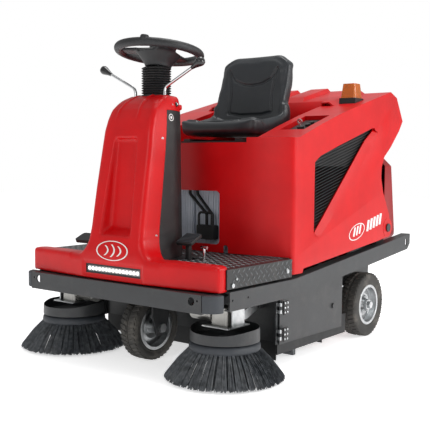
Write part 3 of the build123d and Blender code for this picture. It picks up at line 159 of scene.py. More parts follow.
@dataclass(frozen=True)
class Finish:
    """One real finish: colour, gloss and the relief its making leaves."""

    name: str
    colour: str
    tint: str
    roughness: float = 0.5
    metallic: float = 0.0
    relief: Relief = Relief.MOULDED
    grain_mm: float = 1.0
    depth_mm: float = 0.05
    patch_mm: float = 120.0
    coat: float = 0.0
    sheen: float = 0.0
    specular: float = 0.5
    ior: float = 1.5
    transmission: float = 0.0
    emission: float = 0.0
    dust: str = "8C8880"
    dust_amount: float = 0.08

    def build(self) -> bpy.types.Material:
        """Make the material.

        Returns:
            The material, named for the finish.
        """
        mat = bpy.data.materials.new(self.name)
        mat.use_nodes = True
        tree = mat.node_tree
        tree.nodes.clear()
        coords = add_node(tree, "ShaderNodeTexCoord").outputs["Object"]
        patches = add_node(
            tree, "ShaderNodeTexNoise",
            {"Scale": 1000.0 / self.patch_mm, "Detail": 4.0, "Roughness": 0.6}, {"Vector": coords})
        grain = self._grain(tree, coords)
        shade = add_node(tree, "ShaderNodeMapRange",
                         {"From Min": 0.35, "From Max": 0.68}, {"Value": patches.outputs["Fac"]})
        base = add_node(tree, "ShaderNodeMix", {"data_type": "RGBA"},
                        {"0": shade.outputs["Result"]})
        base.inputs[6].default_value = linear(self.colour)
        base.inputs[7].default_value = linear(self.tint)
        dirt = add_node(tree, "ShaderNodeTexNoise",
                        {"Scale": 14.0, "Detail": 8.0, "Roughness": 0.7},
                        {"Vector": coords})
        dusty = add_node(tree, "ShaderNodeMapRange",
                         {"From Min": 0.5, "From Max": 0.8, "To Max": self.dust_amount},
                         {"Value": dirt.outputs["Fac"]})
        colour = add_node(tree, "ShaderNodeMix", {"data_type": "RGBA"},
                          {"0": dusty.outputs["Result"]})
        tree.links.new(base.outputs[2], colour.inputs[6])
        colour.inputs[7].default_value = linear(self.dust)
        rough = add_node(tree, "ShaderNodeMapRange",
                         {"To Min": max(0.02, self.roughness - 0.05),
                          "To Max": min(1.0, self.roughness + 0.07)},
                         {"Value": dirt.outputs["Fac"]})
        bump = add_node(tree, "ShaderNodeBump", {"Distance": self.depth_mm * MM, "Strength": 0.9},
                        {"Height": grain})
        shader = add_node(
            tree, "ShaderNodeBsdfPrincipled",
            {"Metallic": self.metallic, "IOR": self.ior, "Coat Weight": self.coat,
             "Coat Roughness": 0.08,
             "Sheen Weight": self.sheen, "Specular IOR Level": self.specular,
             "Sheen Roughness": 0.4, "Transmission Weight": self.transmission},
            {"Base Color": colour.outputs[2], "Roughness": rough.outputs["Result"],
             "Normal": bump.outputs["Normal"]})
        if self.emission:
            shader.inputs["Emission Color"].default_value = linear(self.colour)
            shader.inputs["Emission Strength"].default_value = self.emission
        out = add_node(tree, "ShaderNodeOutputMaterial")
        tree.links.new(shader.outputs["BSDF"], out.inputs["Surface"])
        return mat

    def _grain(self, tree: bpy.types.NodeTree,
               coords: bpy.types.NodeSocket) -> bpy.types.NodeSocket:
        """Add the height pattern of the relief.

        Args:
            tree: Node tree to add to.
            coords: Object coordinates.

        Returns:
            The height output.
        """
        scale = 1000.0 / self.grain_mm
        if self.relief is Relief.SPANGLE:
            node = add_node(tree, "ShaderNodeTexVoronoi", {"Scale": scale, "Randomness": 1.0},
                            {"Vector": coords})
            return node.outputs["Distance"]
        if self.relief is Relief.LEATHER:
            node = add_node(tree, "ShaderNodeTexVoronoi", {"feature": "SMOOTH_F1", "Scale": scale},
                            {"Vector": coords})
            return node.outputs["Distance"]
        if self.relief is Relief.RIBBED:
            stretch = add_node(tree, "ShaderNodeMapping", {"Scale": (1.0, 0.04, 1.0)},
                               {"Vector": coords})
            node = add_node(tree, "ShaderNodeTexNoise", {"Scale": scale, "Detail": 3.0},
                            {"Vector": stretch.outputs["Vector"]})
            return node.outputs["Fac"]
        fine = add_node(tree, "ShaderNodeTexNoise", {"Scale": scale, "Detail": 2.0},
                        {"Vector": coords})
        if self.relief is Relief.GLOSS_SKIN:
            slow = add_node(tree, "ShaderNodeTexNoise", {"Scale": scale / 9.0, "Detail": 1.0},
                            {"Vector": coords})
            both = add_node(tree, "ShaderNodeMath", {"operation": "MULTIPLY_ADD", "Value": 0.5},
                            {"0": slow.outputs["Fac"]})
            both.inputs[1].default_value = 3.0
            tree.links.new(fine.outputs["Fac"], both.inputs[2])
            return both.outputs["Value"]
        return fine.outputs["Fac"]


# Grain finer than about 1.4 mm is lost at the distance the machine is seen from, so the
# grain of moulds, powder coat and vinyl is drawn that coarse or coarser.

# Polyethylene melted onto the wall of a hot mould: an even red with a soft gloss, whose
# highlights wander over slow waves.
RED_SHELL = Finish("rotomoulded_red_polyethylene", "C80208", "BC0006", roughness=0.34,
                   relief=Relief.GLOSS_SKIN, grain_mm=5.0, depth_mm=0.08, specular=0.3,
                   dust_amount=0.012)
# The same moulding, its red darkened as painted shade for a part seen mostly in shadow: duller, with dust
# lying on it.
RED_WITH_PAINTED_SHADE = Finish("rotomoulded_dark_red_polyethylene", "8E080E", "86060C", roughness=0.4,
                  specular=0.3, relief=Relief.GLOSS_SKIN, grain_mm=4.0, depth_mm=0.12,
                  dust_amount=0.06)
# Powder baked on steel: fine orange peel that breaks a highlight into a satin sheen.
GREY_STEEL = Finish("powder_coated_steel", "2E3032", "28292B", roughness=0.42,
                    relief=Relief.POWDER, grain_mm=1.6, depth_mm=0.08, dust_amount=0.10)
# Paint underfoot: satin black, greyed in patches by dust from shoes.
BLACK_STEEL = Finish("black_painted_steel", "141516", "1A1B1C", roughness=0.38,
                     relief=Relief.POWDER, grain_mm=1.8, depth_mm=0.07, dust_amount=0.16)
# Moulded in an etched tool: pebbled matt black that holds no sharp reflection.
BLACK_ABS = Finish("grained_black_abs", "131415", "191A1B", roughness=0.5,
                   relief=Relief.LEATHER, grain_mm=1.4, depth_mm=0.10, dust_amount=0.08)
# Moulded polyurethane: matt blue-grey with broad, dull highlights on its edges.
GREY_BUFFER = Finish("moulded_grey_polyurethane", "34383E", "2E3237", roughness=0.55,
                     grain_mm=1.2, depth_mm=0.06, dust_amount=0.10)
# Zinc plate: pale metal whose faint flowers catch the light in patches.
ZINC = Finish("zinc_plated_steel", "C8CACB", "A9ACAE", roughness=0.34, metallic=1.0,
              relief=Relief.SPANGLE, grain_mm=7.0, depth_mm=0.03, patch_mm=40.0,
              dust_amount=0.08)
# Chrome plate: nearly a mirror, with dark and bright bands along a rod.
CHROME = Finish("chrome_plated_steel", "DADBDC", "C9CACC", roughness=0.10, metallic=1.0,
                relief=Relief.POWDER, grain_mm=3.0, depth_mm=0.004, dust_amount=0.02)
# Sand cast: a warm, grainy, pale metal with a broad highlight.
ALUMINIUM = Finish("cast_aluminium", "B9B8B4", "A3A29E", roughness=0.46, metallic=1.0,
                   relief=Relief.CAST, grain_mm=2.0, depth_mm=0.12, patch_mm=50.0,
                   dust_amount=0.12)
# Pressed in a steel mould: dull black, a touch grey where it has bloomed.
RUBBER = Finish("moulded_black_rubber", "17181A", "1F2021", roughness=0.58, grain_mm=1.5,
                depth_mm=0.06, dust_amount=0.10)
# Run on dusty floors: brown-grey dust over black, with no gloss.
TYRE = Finish("tyre_rubber", "2E2D2B", "403E3B", roughness=0.78, grain_mm=2.2, depth_mm=0.15,
              dust="857F76", dust_amount=0.55)
# Drawn filament: dark strands, paler in short runs where they are frayed.
BRISTLE = Finish("polypropylene_bristle", "2C2F33", "5C6064", roughness=0.5, grain_mm=3.0,
                 depth_mm=0.02, patch_mm=18.0, dust="7A766E", dust_amount=0.18)
# Embossed sheet: a leather pebble under a soft satin highlight that follows the swell.
VINYL = Finish("pebbled_seat_vinyl", "1E2226", "23272B", roughness=0.38,
               relief=Relief.LEATHER, grain_mm=2.2, depth_mm=0.14, sheen=0.05,
               dust_amount=0.03)
# Injection moulded: pale blue-grey and a little waxy.
BATTERY = Finish("battery_polypropylene", "D4DAE4", "C2CAD6", roughness=0.4, grain_mm=2.0,
                 depth_mm=0.03, dust_amount=0.08)
# Folded paper: matt cream with fine lines and dust in them.
PAPER = Finish("filter_paper", "CFC8B4", "B8B19D", roughness=0.9, relief=Relief.RIBBED,
               grain_mm=1.5, depth_mm=0.1, dust_amount=0.3)
# Clear moulded lens: bright, and its ribs break up what stands behind.
LAMP = Finish("clear_polycarbonate", "F4F6F8", "E6EAEE", roughness=0.12, transmission=0.75,
              ior=1.58, relief=Relief.RIBBED, grain_mm=4.0, depth_mm=0.2, dust_amount=0.0)
# Phosphor over a chip: a faint even glow, nearly white.
LED = Finish("led_emitter", "FFFDF6", "F4F6FF", roughness=0.3, emission=0.55, dust_amount=0.0)
# Tinted lens: orange that deepens where it is thick, under a striped highlight.
AMBER = Finish("amber_polycarbonate", "F08A12", "E07808", roughness=0.15, transmission=0.55,
               ior=1.58, relief=Relief.RIBBED, grain_mm=5.0, depth_mm=0.3, dust_amount=0.0)
# Turned and buffed: deep black with a small hard highlight.
KNOB = Finish("polished_black_phenolic", "141416", "1B1B1D", roughness=0.18, coat=0.3,
              grain_mm=4.0, depth_mm=0.01, dust_amount=0.03)
# Printed film: an even off-white with a faint satin.
DECAL = Finish("printed_white_vinyl", "E9E6E4", "DDD9D6", roughness=0.35, grain_mm=2.0,
               depth_mm=0.01, dust_amount=0.04)
# Foam with a moulded skin: soft dull black.
GRIP = Finish("soft_grip_polyurethane", "1A1B1D", "222326", roughness=0.5,
              relief=Relief.LEATHER, grain_mm=1.6, depth_mm=0.12, dust_amount=0.05)
# Rubber rubbed by shoes: pale and dry.
PEDAL_GREY = Finish("worn_grey_rubber", "8E9296", "7C8084", roughness=0.55, grain_mm=1.8,
                    depth_mm=0.06, dust_amount=0.2)
# Tops of the tread with the paint walked off: grey patches on black, a little shinier.
WORN_TREAD = Finish("worn_painted_tread", "55585B", "303234", roughness=0.3,
                    relief=Relief.POWDER, grain_mm=2.0, depth_mm=0.05, patch_mm=14.0,
                    dust_amount=0.1)


class Workshop:
    """Keeps the built finishes and the shared mesh helpers."""

    def __init__(self) -> None:
        """Start with no finish built."""
        self.made: dict[str, bpy.types.Material] = {}

    def material(self, finish: Finish) -> bpy.types.Material:
        """Return the material of a finish, built once.

        Args:
            finish: The finish wanted.

        Returns:
            Its material.
        """
        if finish.name not in self.made:
            self.made[finish.name] = finish.build()
        return self.made[finish.name]

    def dress(self, node: str, finish: Finish) -> None:
        """Give a carried-over CAD node its finish.

        Args:
            node: CAD node name.
            finish: The finish to assign.
        """
        obj = bpy.data.objects[node]
        obj.data.materials.clear()
        obj.data.materials.append(self.material(finish))
        LOG.info("dressed %s", node)

    def piece(self, name: str, bm: bmesh.types.BMesh, finish: Finish, body: str, slot: str,
              smooth: float = 40.0) -> bpy.types.Object:
        """Turn a bmesh into a finished piece that rides on a body.

        Args:
            name: Piece name.
            bm: The mesh; it is freed.
            finish: Finish of the piece.
            body: CAD body that it rides on.
            slot: Material slot of the record; not used.
            smooth: Edges flatter than this angle are shaded smooth, in degrees.

        Returns:
            The new object.
        """
        mesh = bpy.data.meshes.new(name)
        for face in bm.faces:
            face.smooth = True
        for edge in bm.edges:
            if len(edge.link_faces) == 2 and edge.calc_face_angle(0.0) > math.radians(smooth):
                edge.smooth = False
        bm.to_mesh(mesh)
        bm.free()
        mesh.materials.append(self.material(finish))
        obj = bpy.data.objects.new(name, mesh)
        bpy.context.scene.collection.objects.link(obj)
        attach(obj, body)
        LOG.info("made %s, %d faces", name, len(mesh.polygons))
        return obj

    def merged(self, node: str) -> bmesh.types.BMesh:
        """Copy a CAD node's triangles and merge them into faces.

        Args:
            node: CAD node name.

        Returns:
            The merged copy.
        """
        bm = bmesh.new()
        bm.from_mesh(bpy.data.objects[node].data)
        bmesh.ops.remove_doubles(bm, verts=bm.verts, dist=WELD_M)
        bmesh.ops.dissolve_limit(bm, angle_limit=math.radians(FLAT_DEG), verts=bm.verts,
                                 edges=bm.edges,
                                 delimit=set())
        return bm

    def refine(self, node: str, finish: Finish, body: str, slot: str, bevel_mm: float = 0.0,
               angle: float = 40.0, smooth: float = 40.0) -> bpy.types.Object:
        """Replace a CAD node by a merged copy with its edges broken.

        Args:
            node: CAD node name.
            finish: Finish of the piece.
            body: CAD body that it rides on.
            slot: Material slot of the record.
            bevel_mm: Width of the broken edges.
            angle: Edges sharper than this are broken, in degrees.
            smooth: Edges flatter than this are shaded smooth, in degrees.

        Returns:
            The new object.
        """
        obj = self.piece(f"{node}_finished", self.merged(node), finish, body, slot, smooth)
        if bevel_mm:
            mod = obj.modifiers.new("broken_edges", "BEVEL")
            mod.width = bevel_mm * MM
            mod.segments = 2
            mod.limit_method = "ANGLE"
            mod.angle_limit = math.radians(angle)
            mod.harden_normals = True
        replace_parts(obj, node)
        return obj


# --------------------------------------------------------------------------
# Stage
# --------------------------------------------------------------------------
@dataclass
class Studio:
    """Pale floor, soft lights and the camera."""

    azimuth: float = 37.8
    elevation: float = 4.7
    roll: float = 0.5
    distance: float = 3.319
    target: tuple[float, float, float] = (54.7, 574.8, 507.3)
    focal_px: float = 780.9
    centre_px: tuple[float, float] = (215.0, 227.3)
    size_px: float = 430.0
    fill: float = 0.5

    def build(self) -> None:
        """Build floor, lights and camera."""
        self._floor()
        self._lights()
        self._camera()

    def _floor(self) -> None:
        """Lay the pale floor."""
        bm = bmesh.new()
        bmesh.ops.create_grid(bm, x_segments=2, y_segments=2, size=14.0)
        mesh = bpy.data.meshes.new("studio_floor")
        bm.to_mesh(mesh)
        bm.free()
        floor = bpy.data.objects.new("studio_floor", mesh)
        bpy.context.scene.collection.objects.link(floor)
        mat = bpy.data.materials.new("matte_white_floor")
        mat.use_nodes = True
        shader = mat.node_tree.nodes["Principled BSDF"]
        shader.inputs["Base Color"].default_value = linear("F8F8F8")
        shader.inputs["Roughness"].default_value = 0.8
        shader.inputs["Emission Color"].default_value = linear("FFFFFF")
        shader.inputs["Emission Strength"].default_value = 0.6
        mesh.materials.append(mat)

    def _lights(self) -> None:
        """Hang the soft lights and set the surroundings."""
        world = bpy.data.worlds.new("studio")
        bpy.context.scene.world = world
        world.use_nodes = True
        sky = world.node_tree.nodes["Background"]
        sky.inputs["Color"].default_value = linear("FFFFFF")
        seen = add_node(world.node_tree, "ShaderNodeLightPath").outputs["Is Camera Ray"]
        level = add_node(world.node_tree, "ShaderNodeMapRange",
                         {"To Min": self.fill, "To Max": 1.0},
                         {"Value": seen})
        world.node_tree.links.new(level.outputs["Result"], sky.inputs["Strength"])
        # name, place, size in metres, power in watts
        lamps = (("key_light", (4.6, 0.4, 2.2), 1.8, 92.0),
                 ("side_light", (3.6, 2.6, 1.6), 1.6, 26.0),
                 ("front_light", (0.4, -4.2, 2.0), 1.4, 20.0),
                 ("top_light", (0.2, 0.4, 4.0), 2.0, 66.0))
        bpy.context.scene.view_settings.view_transform = "Standard"
        for name, place, size, power in lamps:
            data = bpy.data.lights.new(name, "AREA")
            data.size = size
            data.energy = power
            obj = bpy.data.objects.new(name, data)
            obj.location = place
            aim = Vector((0.0, 0.0, 0.5)) - Vector(place)
            obj.rotation_euler = aim.to_track_quat("-Z", "Y").to_euler()
            bpy.context.scene.collection.objects.link(obj)

    def _camera(self) -> None:
        """Place the camera."""
        az, el, ro = (math.radians(v) for v in (self.azimuth, self.elevation, self.roll))
        back = Vector((math.sin(az) * math.cos(el), -math.cos(az) * math.cos(el), math.sin(el)))
        right = Vector((math.cos(az), math.sin(az), 0.0))
        up = back.cross(right)
        right, up = (right * math.cos(ro) + up * math.sin(ro),
                     up * math.cos(ro) - right * math.sin(ro))
        data = bpy.data.cameras.new("camera")
        data.sensor_width = SENSOR_MM
        data.lens = SENSOR_MM * self.focal_px / self.size_px
        data.shift_x = (self.size_px / 2 - self.centre_px[0]) / self.size_px
        data.shift_y = (self.centre_px[1] - self.size_px / 2) / self.size_px
        data.clip_start = 0.05
        cam = bpy.data.objects.new("camera", data)
        place = at(*self.target) + back * self.distance
        rot = Matrix((right, up, back)).transposed().to_4x4()
        cam.matrix_world = Matrix.Translation(place) @ rot
        bpy.context.scene.collection.objects.link(cam)
        bpy.context.scene.camera = cam


# --------------------------------------------------------------------------
# Mesh helpers
# --------------------------------------------------------------------------
def soften(bm: bmesh.types.BMesh, verts: Sequence[bmesh.types.BMVert], rounds: int) -> None:
    """Smooth points towards their neighbours.

    Args:
        bm: The mesh.
        verts: Points that move.
        rounds: How many times.
    """
    for _ in range(rounds):
        bmesh.ops.smooth_vert(bm, verts=verts, factor=0.5, use_axis_x=True, use_axis_y=True,
                              use_axis_z=True)


def rounded(bm: bmesh.types.BMesh, geom: Sequence[object], offset: float, segments: int,
            affect: str = "EDGES") -> None:
    """Round edges or corners.

    Args:
        bm: The mesh.
        geom: Edges or points to round.
        offset: Width of the rounding, in metres.
        segments: Steps of the rounding.
        affect: EDGES or VERTICES.
    """
    bmesh.ops.bevel(bm, geom=geom, offset=offset, segments=segments, profile=0.5,
                    affect=affect, material=-1)


def points(geom: Sequence[object]) -> list[bmesh.types.BMVert]:
    """Return the points among an operator's new geometry."""
    return [g for g in geom if isinstance(g, bmesh.types.BMVert)]


def outer_face(node: str, sign: int) -> float:
    """Find the outermost X of a CAD node on one side.

    Args:
        node: CAD node name.
        sign: Side of the machine.

    Returns:
        The face's X in millimetres.
    """
    low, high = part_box(node)
    return (high[0] if sign > 0 else low[0]) / MM


def grow_box(bm: bmesh.types.BMesh, low: Sequence[float],
             high: Sequence[float]) -> list[bmesh.types.BMVert]:
    """Add a box between two corners.

    Args:
        bm: Mesh to add to.
        low: Lowest x, d, z in millimetres.
        high: Highest x, d, z in millimetres.

    Returns:
        The box's vertices.
    """
    a, b = at(*low), at(*high)
    verts = bmesh.ops.create_cube(bm, size=1.0)["verts"]
    bmesh.ops.scale(bm, vec=b - a, verts=verts)
    bmesh.ops.translate(bm, vec=(a + b) / 2, verts=verts)
    return verts


def lathe(bm: bmesh.types.BMesh, profile: Sequence[tuple[float, float]], place: Matrix,
          steps: int = 48) -> None:
    """Spin a half outline round the local Z axis of a placement.

    Args:
        bm: Mesh to add to.
        profile: Radius and height pairs in millimetres.
        place: Placement; its Z axis is the spin axis.
        steps: Divisions of the full turn.
    """
    verts = [bm.verts.new(place @ Vector((r * MM, 0.0, h * MM))) for r, h in profile]
    edges = [bm.edges.new(pair) for pair in zip(verts, verts[1:])]
    bmesh.ops.spin(bm, geom=verts + edges, angle=math.tau, steps=steps, use_merge=True,
                   axis=place.to_3x3() @ Vector((0, 0, 1)), cent=place.translation)
    bmesh.ops.remove_doubles(bm, verts=bm.verts, dist=1e-6)
    bmesh.ops.recalc_face_normals(bm, faces=bm.faces)


def turned(x: float, d: float, z: float, axis: Sequence[float] = (0, 0, 1)) -> Matrix:
    """Placement at a point with its Z axis along a direction.

    Args:
        x: Millimetres to the left.
        d: Millimetres behind the bumper face.
        z: Millimetres above the floor.
        axis: Direction of local Z.

    Returns:
        The placement matrix.
    """
    turn = UP.rotation_difference(Vector(axis).normalized()).to_matrix().to_4x4()
    return Matrix.Translation(at(x, d, z)) @ turn


def stamp(bm: bmesh.types.BMesh, shape: bpy.types.Mesh, places: Sequence[Matrix]) -> None:
    """Add a copy of a small mesh at every placement.

    Args:
        bm: Mesh to add to.
        shape: The small mesh.
        places: Placements of the copies.
    """
    for place in places:
        copy = shape.copy()
        copy.transform(place)
        bm.from_mesh(copy)
        bpy.data.meshes.remove(copy)


def as_mesh(bm: bmesh.types.BMesh) -> bpy.types.Mesh:
    """Turn a bmesh into a loose mesh and free it.

    Args:
        bm: The mesh data.

    Returns:
        The mesh block.
    """
    mesh = bpy.data.meshes.new("work")
    bm.to_mesh(mesh)
    bm.free()
    return mesh


def evaluated(bm: bmesh.types.BMesh,
              prepare: Callable[[bpy.types.Object], None]) -> bmesh.types.BMesh:
    """Apply modifiers to a mesh and return the result.

    Args:
        bm: Mesh to change; it is freed.
        prepare: Function that adds the modifiers to the working object.

    Returns:
        The changed mesh.
    """
    mesh = as_mesh(bm)
    obj = bpy.data.objects.new("work", mesh)
    bpy.context.scene.collection.objects.link(obj)
    prepare(obj)
    done = bpy.data.meshes.new_from_object(obj.evaluated_get(bpy.context.evaluated_depsgraph_get()))
    out = bmesh.new()
    out.from_mesh(done)
    bpy.data.objects.remove(obj)
    bpy.data.meshes.remove(mesh)
    bpy.data.meshes.remove(done)
    return out


def fused(bm: bmesh.types.BMesh, voxel_mm: float, rounds: int = 8) -> bmesh.types.BMesh:
    """Fuse overlapping closed shapes and soften their edges.

    Args:
        bm: Closed shapes; freed.
        voxel_mm: Size of the new mesh's cells.
        rounds: Smoothing rounds.

    Returns:
        One closed, evenly meshed shape.
    """
    def remesh(obj: bpy.types.Object) -> None:
        """Add the remesh modifier.

        Args:
            obj: Working object.
        """
        mod = obj.modifiers.new("fuse", "REMESH")
        mod.mode = "VOXEL"
        mod.voxel_size = voxel_mm * MM

    out = evaluated(bm, remesh)
    soften(out, out.verts, rounds)
    return out


def carved(bm: bmesh.types.BMesh, tool: bmesh.types.BMesh,
           how: str = "DIFFERENCE") -> bmesh.types.BMesh:
    """Cut a closed shape with another.

    Args:
        bm: Shape to cut; freed.
        tool: Cutting shape; freed.
        how: Kind of boolean.

    Returns:
        The cut shape.
    """
    cutter_mesh = as_mesh(tool)
    cutter = bpy.data.objects.new("cutter", cutter_mesh)
    bpy.context.scene.collection.objects.link(cutter)

    def cut(obj: bpy.types.Object) -> None:
        """Add the boolean modifier.

        Args:
            obj: Working object.
        """
        mod = obj.modifiers.new("cut", "BOOLEAN")
        mod.operation = how
        mod.object = cutter
        mod.solver = "EXACT"

    out = evaluated(bm, cut)
    bpy.data.objects.remove(cutter)
    bpy.data.meshes.remove(cutter_mesh)
    return out


def prism(outline: Sequence[tuple[float, float]], low: float, high: float,
          axis: str = "x") -> bmesh.types.BMesh:
    """Extrude an outline along one axis.

    Args:
        outline: For axis x pairs of d and z, for y pairs of x and z, for z pairs of x and d.
        low: Start of the extrusion in millimetres.
        high: End of the extrusion in millimetres.
        axis: Extrusion axis.

    Returns:
        The closed prism.
    """
    place = {"x": lambda a, b: at(low, a, b), "y": lambda a, b: at(a, low, b),
             "z": lambda a, b: at(a, b, low)}[axis]
    way = {"x": Vector((1, 0, 0)), "y": Vector((0, 1, 0)), "z": UP}[axis]
    move = way * (high - low) * MM
    bm = bmesh.new()
    face = bm.faces.new([bm.verts.new(place(a, b)) for a, b in outline])
    out = bmesh.ops.extrude_face_region(bm, geom=[face])
    bmesh.ops.translate(bm, vec=move, verts=points(out["geom"]))
    bmesh.ops.recalc_face_normals(bm, faces=bm.faces)
    return bm


def ramp(value: float) -> float:
    """Ease a value from nought to one.

    Args:
        value: Any number; it is held between nought and one.

    Returns:
        The eased value.
    """
    t = min(1.0, max(0.0, value))
    return t * t * (3.0 - 2.0 * t)


def near_line(point: tuple[float, float], line: Sequence[tuple[float, float]]) -> float:
    """Distance from a point to a polyline, in the units given.

    Args:
        point: The point.
        line: Corner points of the line.

    Returns:
        The shortest distance.
    """
    best = 1e9
    p = Vector(point)
    for start, end in zip(line, line[1:]):
        a, b = Vector(start), Vector(end)
        t = min(1.0, max(0.0, (p - a).dot(b - a) / max(1e-9, (b - a).length_squared)))
        best = min(best, (p - (a + (b - a) * t)).length)
    return best


# --------------------------------------------------------------------------
# The machine
# --------------------------------------------------------------------------
PLAIN_NODES: dict[str, Finish] = {
    "body_screws": ZINC, "led_housing": BLACK_ABS, "led_lens": LAMP, "rear_axle": ZINC,
    "drive_unit": ALUMINIUM,
    "door_hinges": ZINC, "rubber_skirts": RUBBER, "battery": BATTERY,
    "battery_connector": BLACK_ABS,
    "battery_cables": RUBBER, "suction_fan": BLACK_ABS, "dust_filter": PAPER,
    "steering_shaft": ZINC,
    "steering_hub": BLACK_ABS, "front_axle": ZINC, "brake_rod": CHROME,
    "beacon_base": BLACK_ABS, "beacon_lens": AMBER, "control_panel": BLACK_ABS,
    "ignition_key": ZINC,
    "seat_base": BLACK_STEEL, "main_brush": BRISTLE,
}


@dataclass
class PlainParts:
    """CAD nodes whose shape is right and only need their finish."""

    shop: Workshop

    def build(self) -> None:
        """Dress every plain node."""
        for node, finish in PLAIN_NODES.items():
            self.shop.dress(node, finish)


@dataclass
class Frame:
    """Bumper bar, rails, corner buffers, doors and fork, with broken edges."""

    shop: Workshop
    fold_mm: float = 2.4

    def build(self) -> None:
        """Build the steelwork."""
        for node in ("chassis_frame", "front_bumper_bar", "side_rails"):
            self.shop.refine(node, GREY_STEEL, "chassis", "dark_steel",
                             self.fold_mm if node != "chassis_frame" else 1.2)
        self.shop.refine("corner_bumpers", GREY_BUFFER, "chassis", "grey_plastic", 4.0, 30.0)
        self.shop.refine("steer_fork", GREY_STEEL, "fork", "dark_steel", 1.5)
        for side in ("left", "right"):
            self.shop.refine(f"side_door_{side}", GREY_STEEL, f"door_{side}", "dark_steel", 1.0)


@dataclass
class TreadPlate:
    """Platform of painted chequer plate: crossed raised lozenges."""

    shop: Workshop
    pitch: float = 31.0
    row: float = 17.5
    half: float = 486.0
    front: float = 120.0
    back: float = 484.0
    top: float = 415.0
    length: float = 22.0
    width: float = 6.6
    height: float = 2.1
    column_half: float = 176.0
    column_back: float = 345.0
    skirt_x: float = 493.0
    skirt_rows: tuple[float, ...] = (405.0, 387.5, 370.0, 352.5)
    gaps: tuple[tuple[float, float, float], ...] = ((193.0, 236.0, 34.0), (-262.0, 150.0, 26.0),
                                                    (256.0, 250.0, 20.0))

    def build(self) -> None:
        """Build the plate and its lozenges."""
        self.shop.refine("platform_plate", BLACK_STEEL, "chassis", "black_steel", 2.2)
        bm = bmesh.new()
        shape = self._lozenge()
        stamp(bm, shape, self._flat_places() + self._skirt_places())
        bpy.data.meshes.remove(shape)
        self.shop.piece("tread_lozenges", bm, WORN_TREAD, "chassis", "black_steel", 60.0)

    def _lozenge(self) -> bpy.types.Mesh:
        """Make one lozenge, its root just under the surface.

        Returns:
            The small mesh.
        """
        bm = bmesh.new()
        bmesh.ops.create_uvsphere(bm, u_segments=8, v_segments=4, radius=1.0)
        bmesh.ops.scale(bm, vec=(self.length / 2 * MM, self.width / 2 * MM, self.height * MM),
                        verts=bm.verts)
        bmesh.ops.bisect_plane(bm, geom=bm.verts[:] + bm.edges[:] + bm.faces[:],
                               plane_co=(0, 0, -0.0001),
                               plane_no=(0, 0, -1), clear_outer=True)
        return as_mesh(bm)

    def _flat_places(self) -> list[Matrix]:
        """Placements on the standing surface.

        Returns:
            One placement for each lozenge.
        """
        places = []
        rows = int(2 * self.half / self.row)
        for i in range(rows):
            x = -self.half + 10 + i * self.row
            tilt = math.radians(45 if i % 2 else -45)
            d = self.front + (self.pitch / 2 if i % 2 else 0.0)
            while d < self.back:
                column = abs(x) < self.column_half and d < self.column_back
                slot = any(math.hypot(x - gx, d - gd) < r for gx, gd, r in self.gaps)
                if not column and not slot:
                    places.append(Matrix.Translation(at(x, d, self.top)) @ Matrix.Rotation(tilt, 4,
                                                                                           "Z"))
                d += self.pitch
        return places

    def _skirt_places(self) -> list[Matrix]:
        """Placements on the two side skirts.

        Returns:
            One placement for each lozenge.
        """
        places = []
        for side in (-1, 1):
            up = Matrix.Rotation(math.radians(90 * side), 4, "Y")
            for i, z in enumerate(self.skirt_rows):
                tilt = math.radians(45 if i % 2 else -45)
                d = self.front - 4 + (self.pitch / 2 if i % 2 else 0.0)
                while d < self.back + 6:
                    place = Matrix.Translation(at(side * self.skirt_x, d, z))
                    places.append(place @ up @ Matrix.Rotation(tilt, 4, "Z"))
                    d += self.pitch
        return places


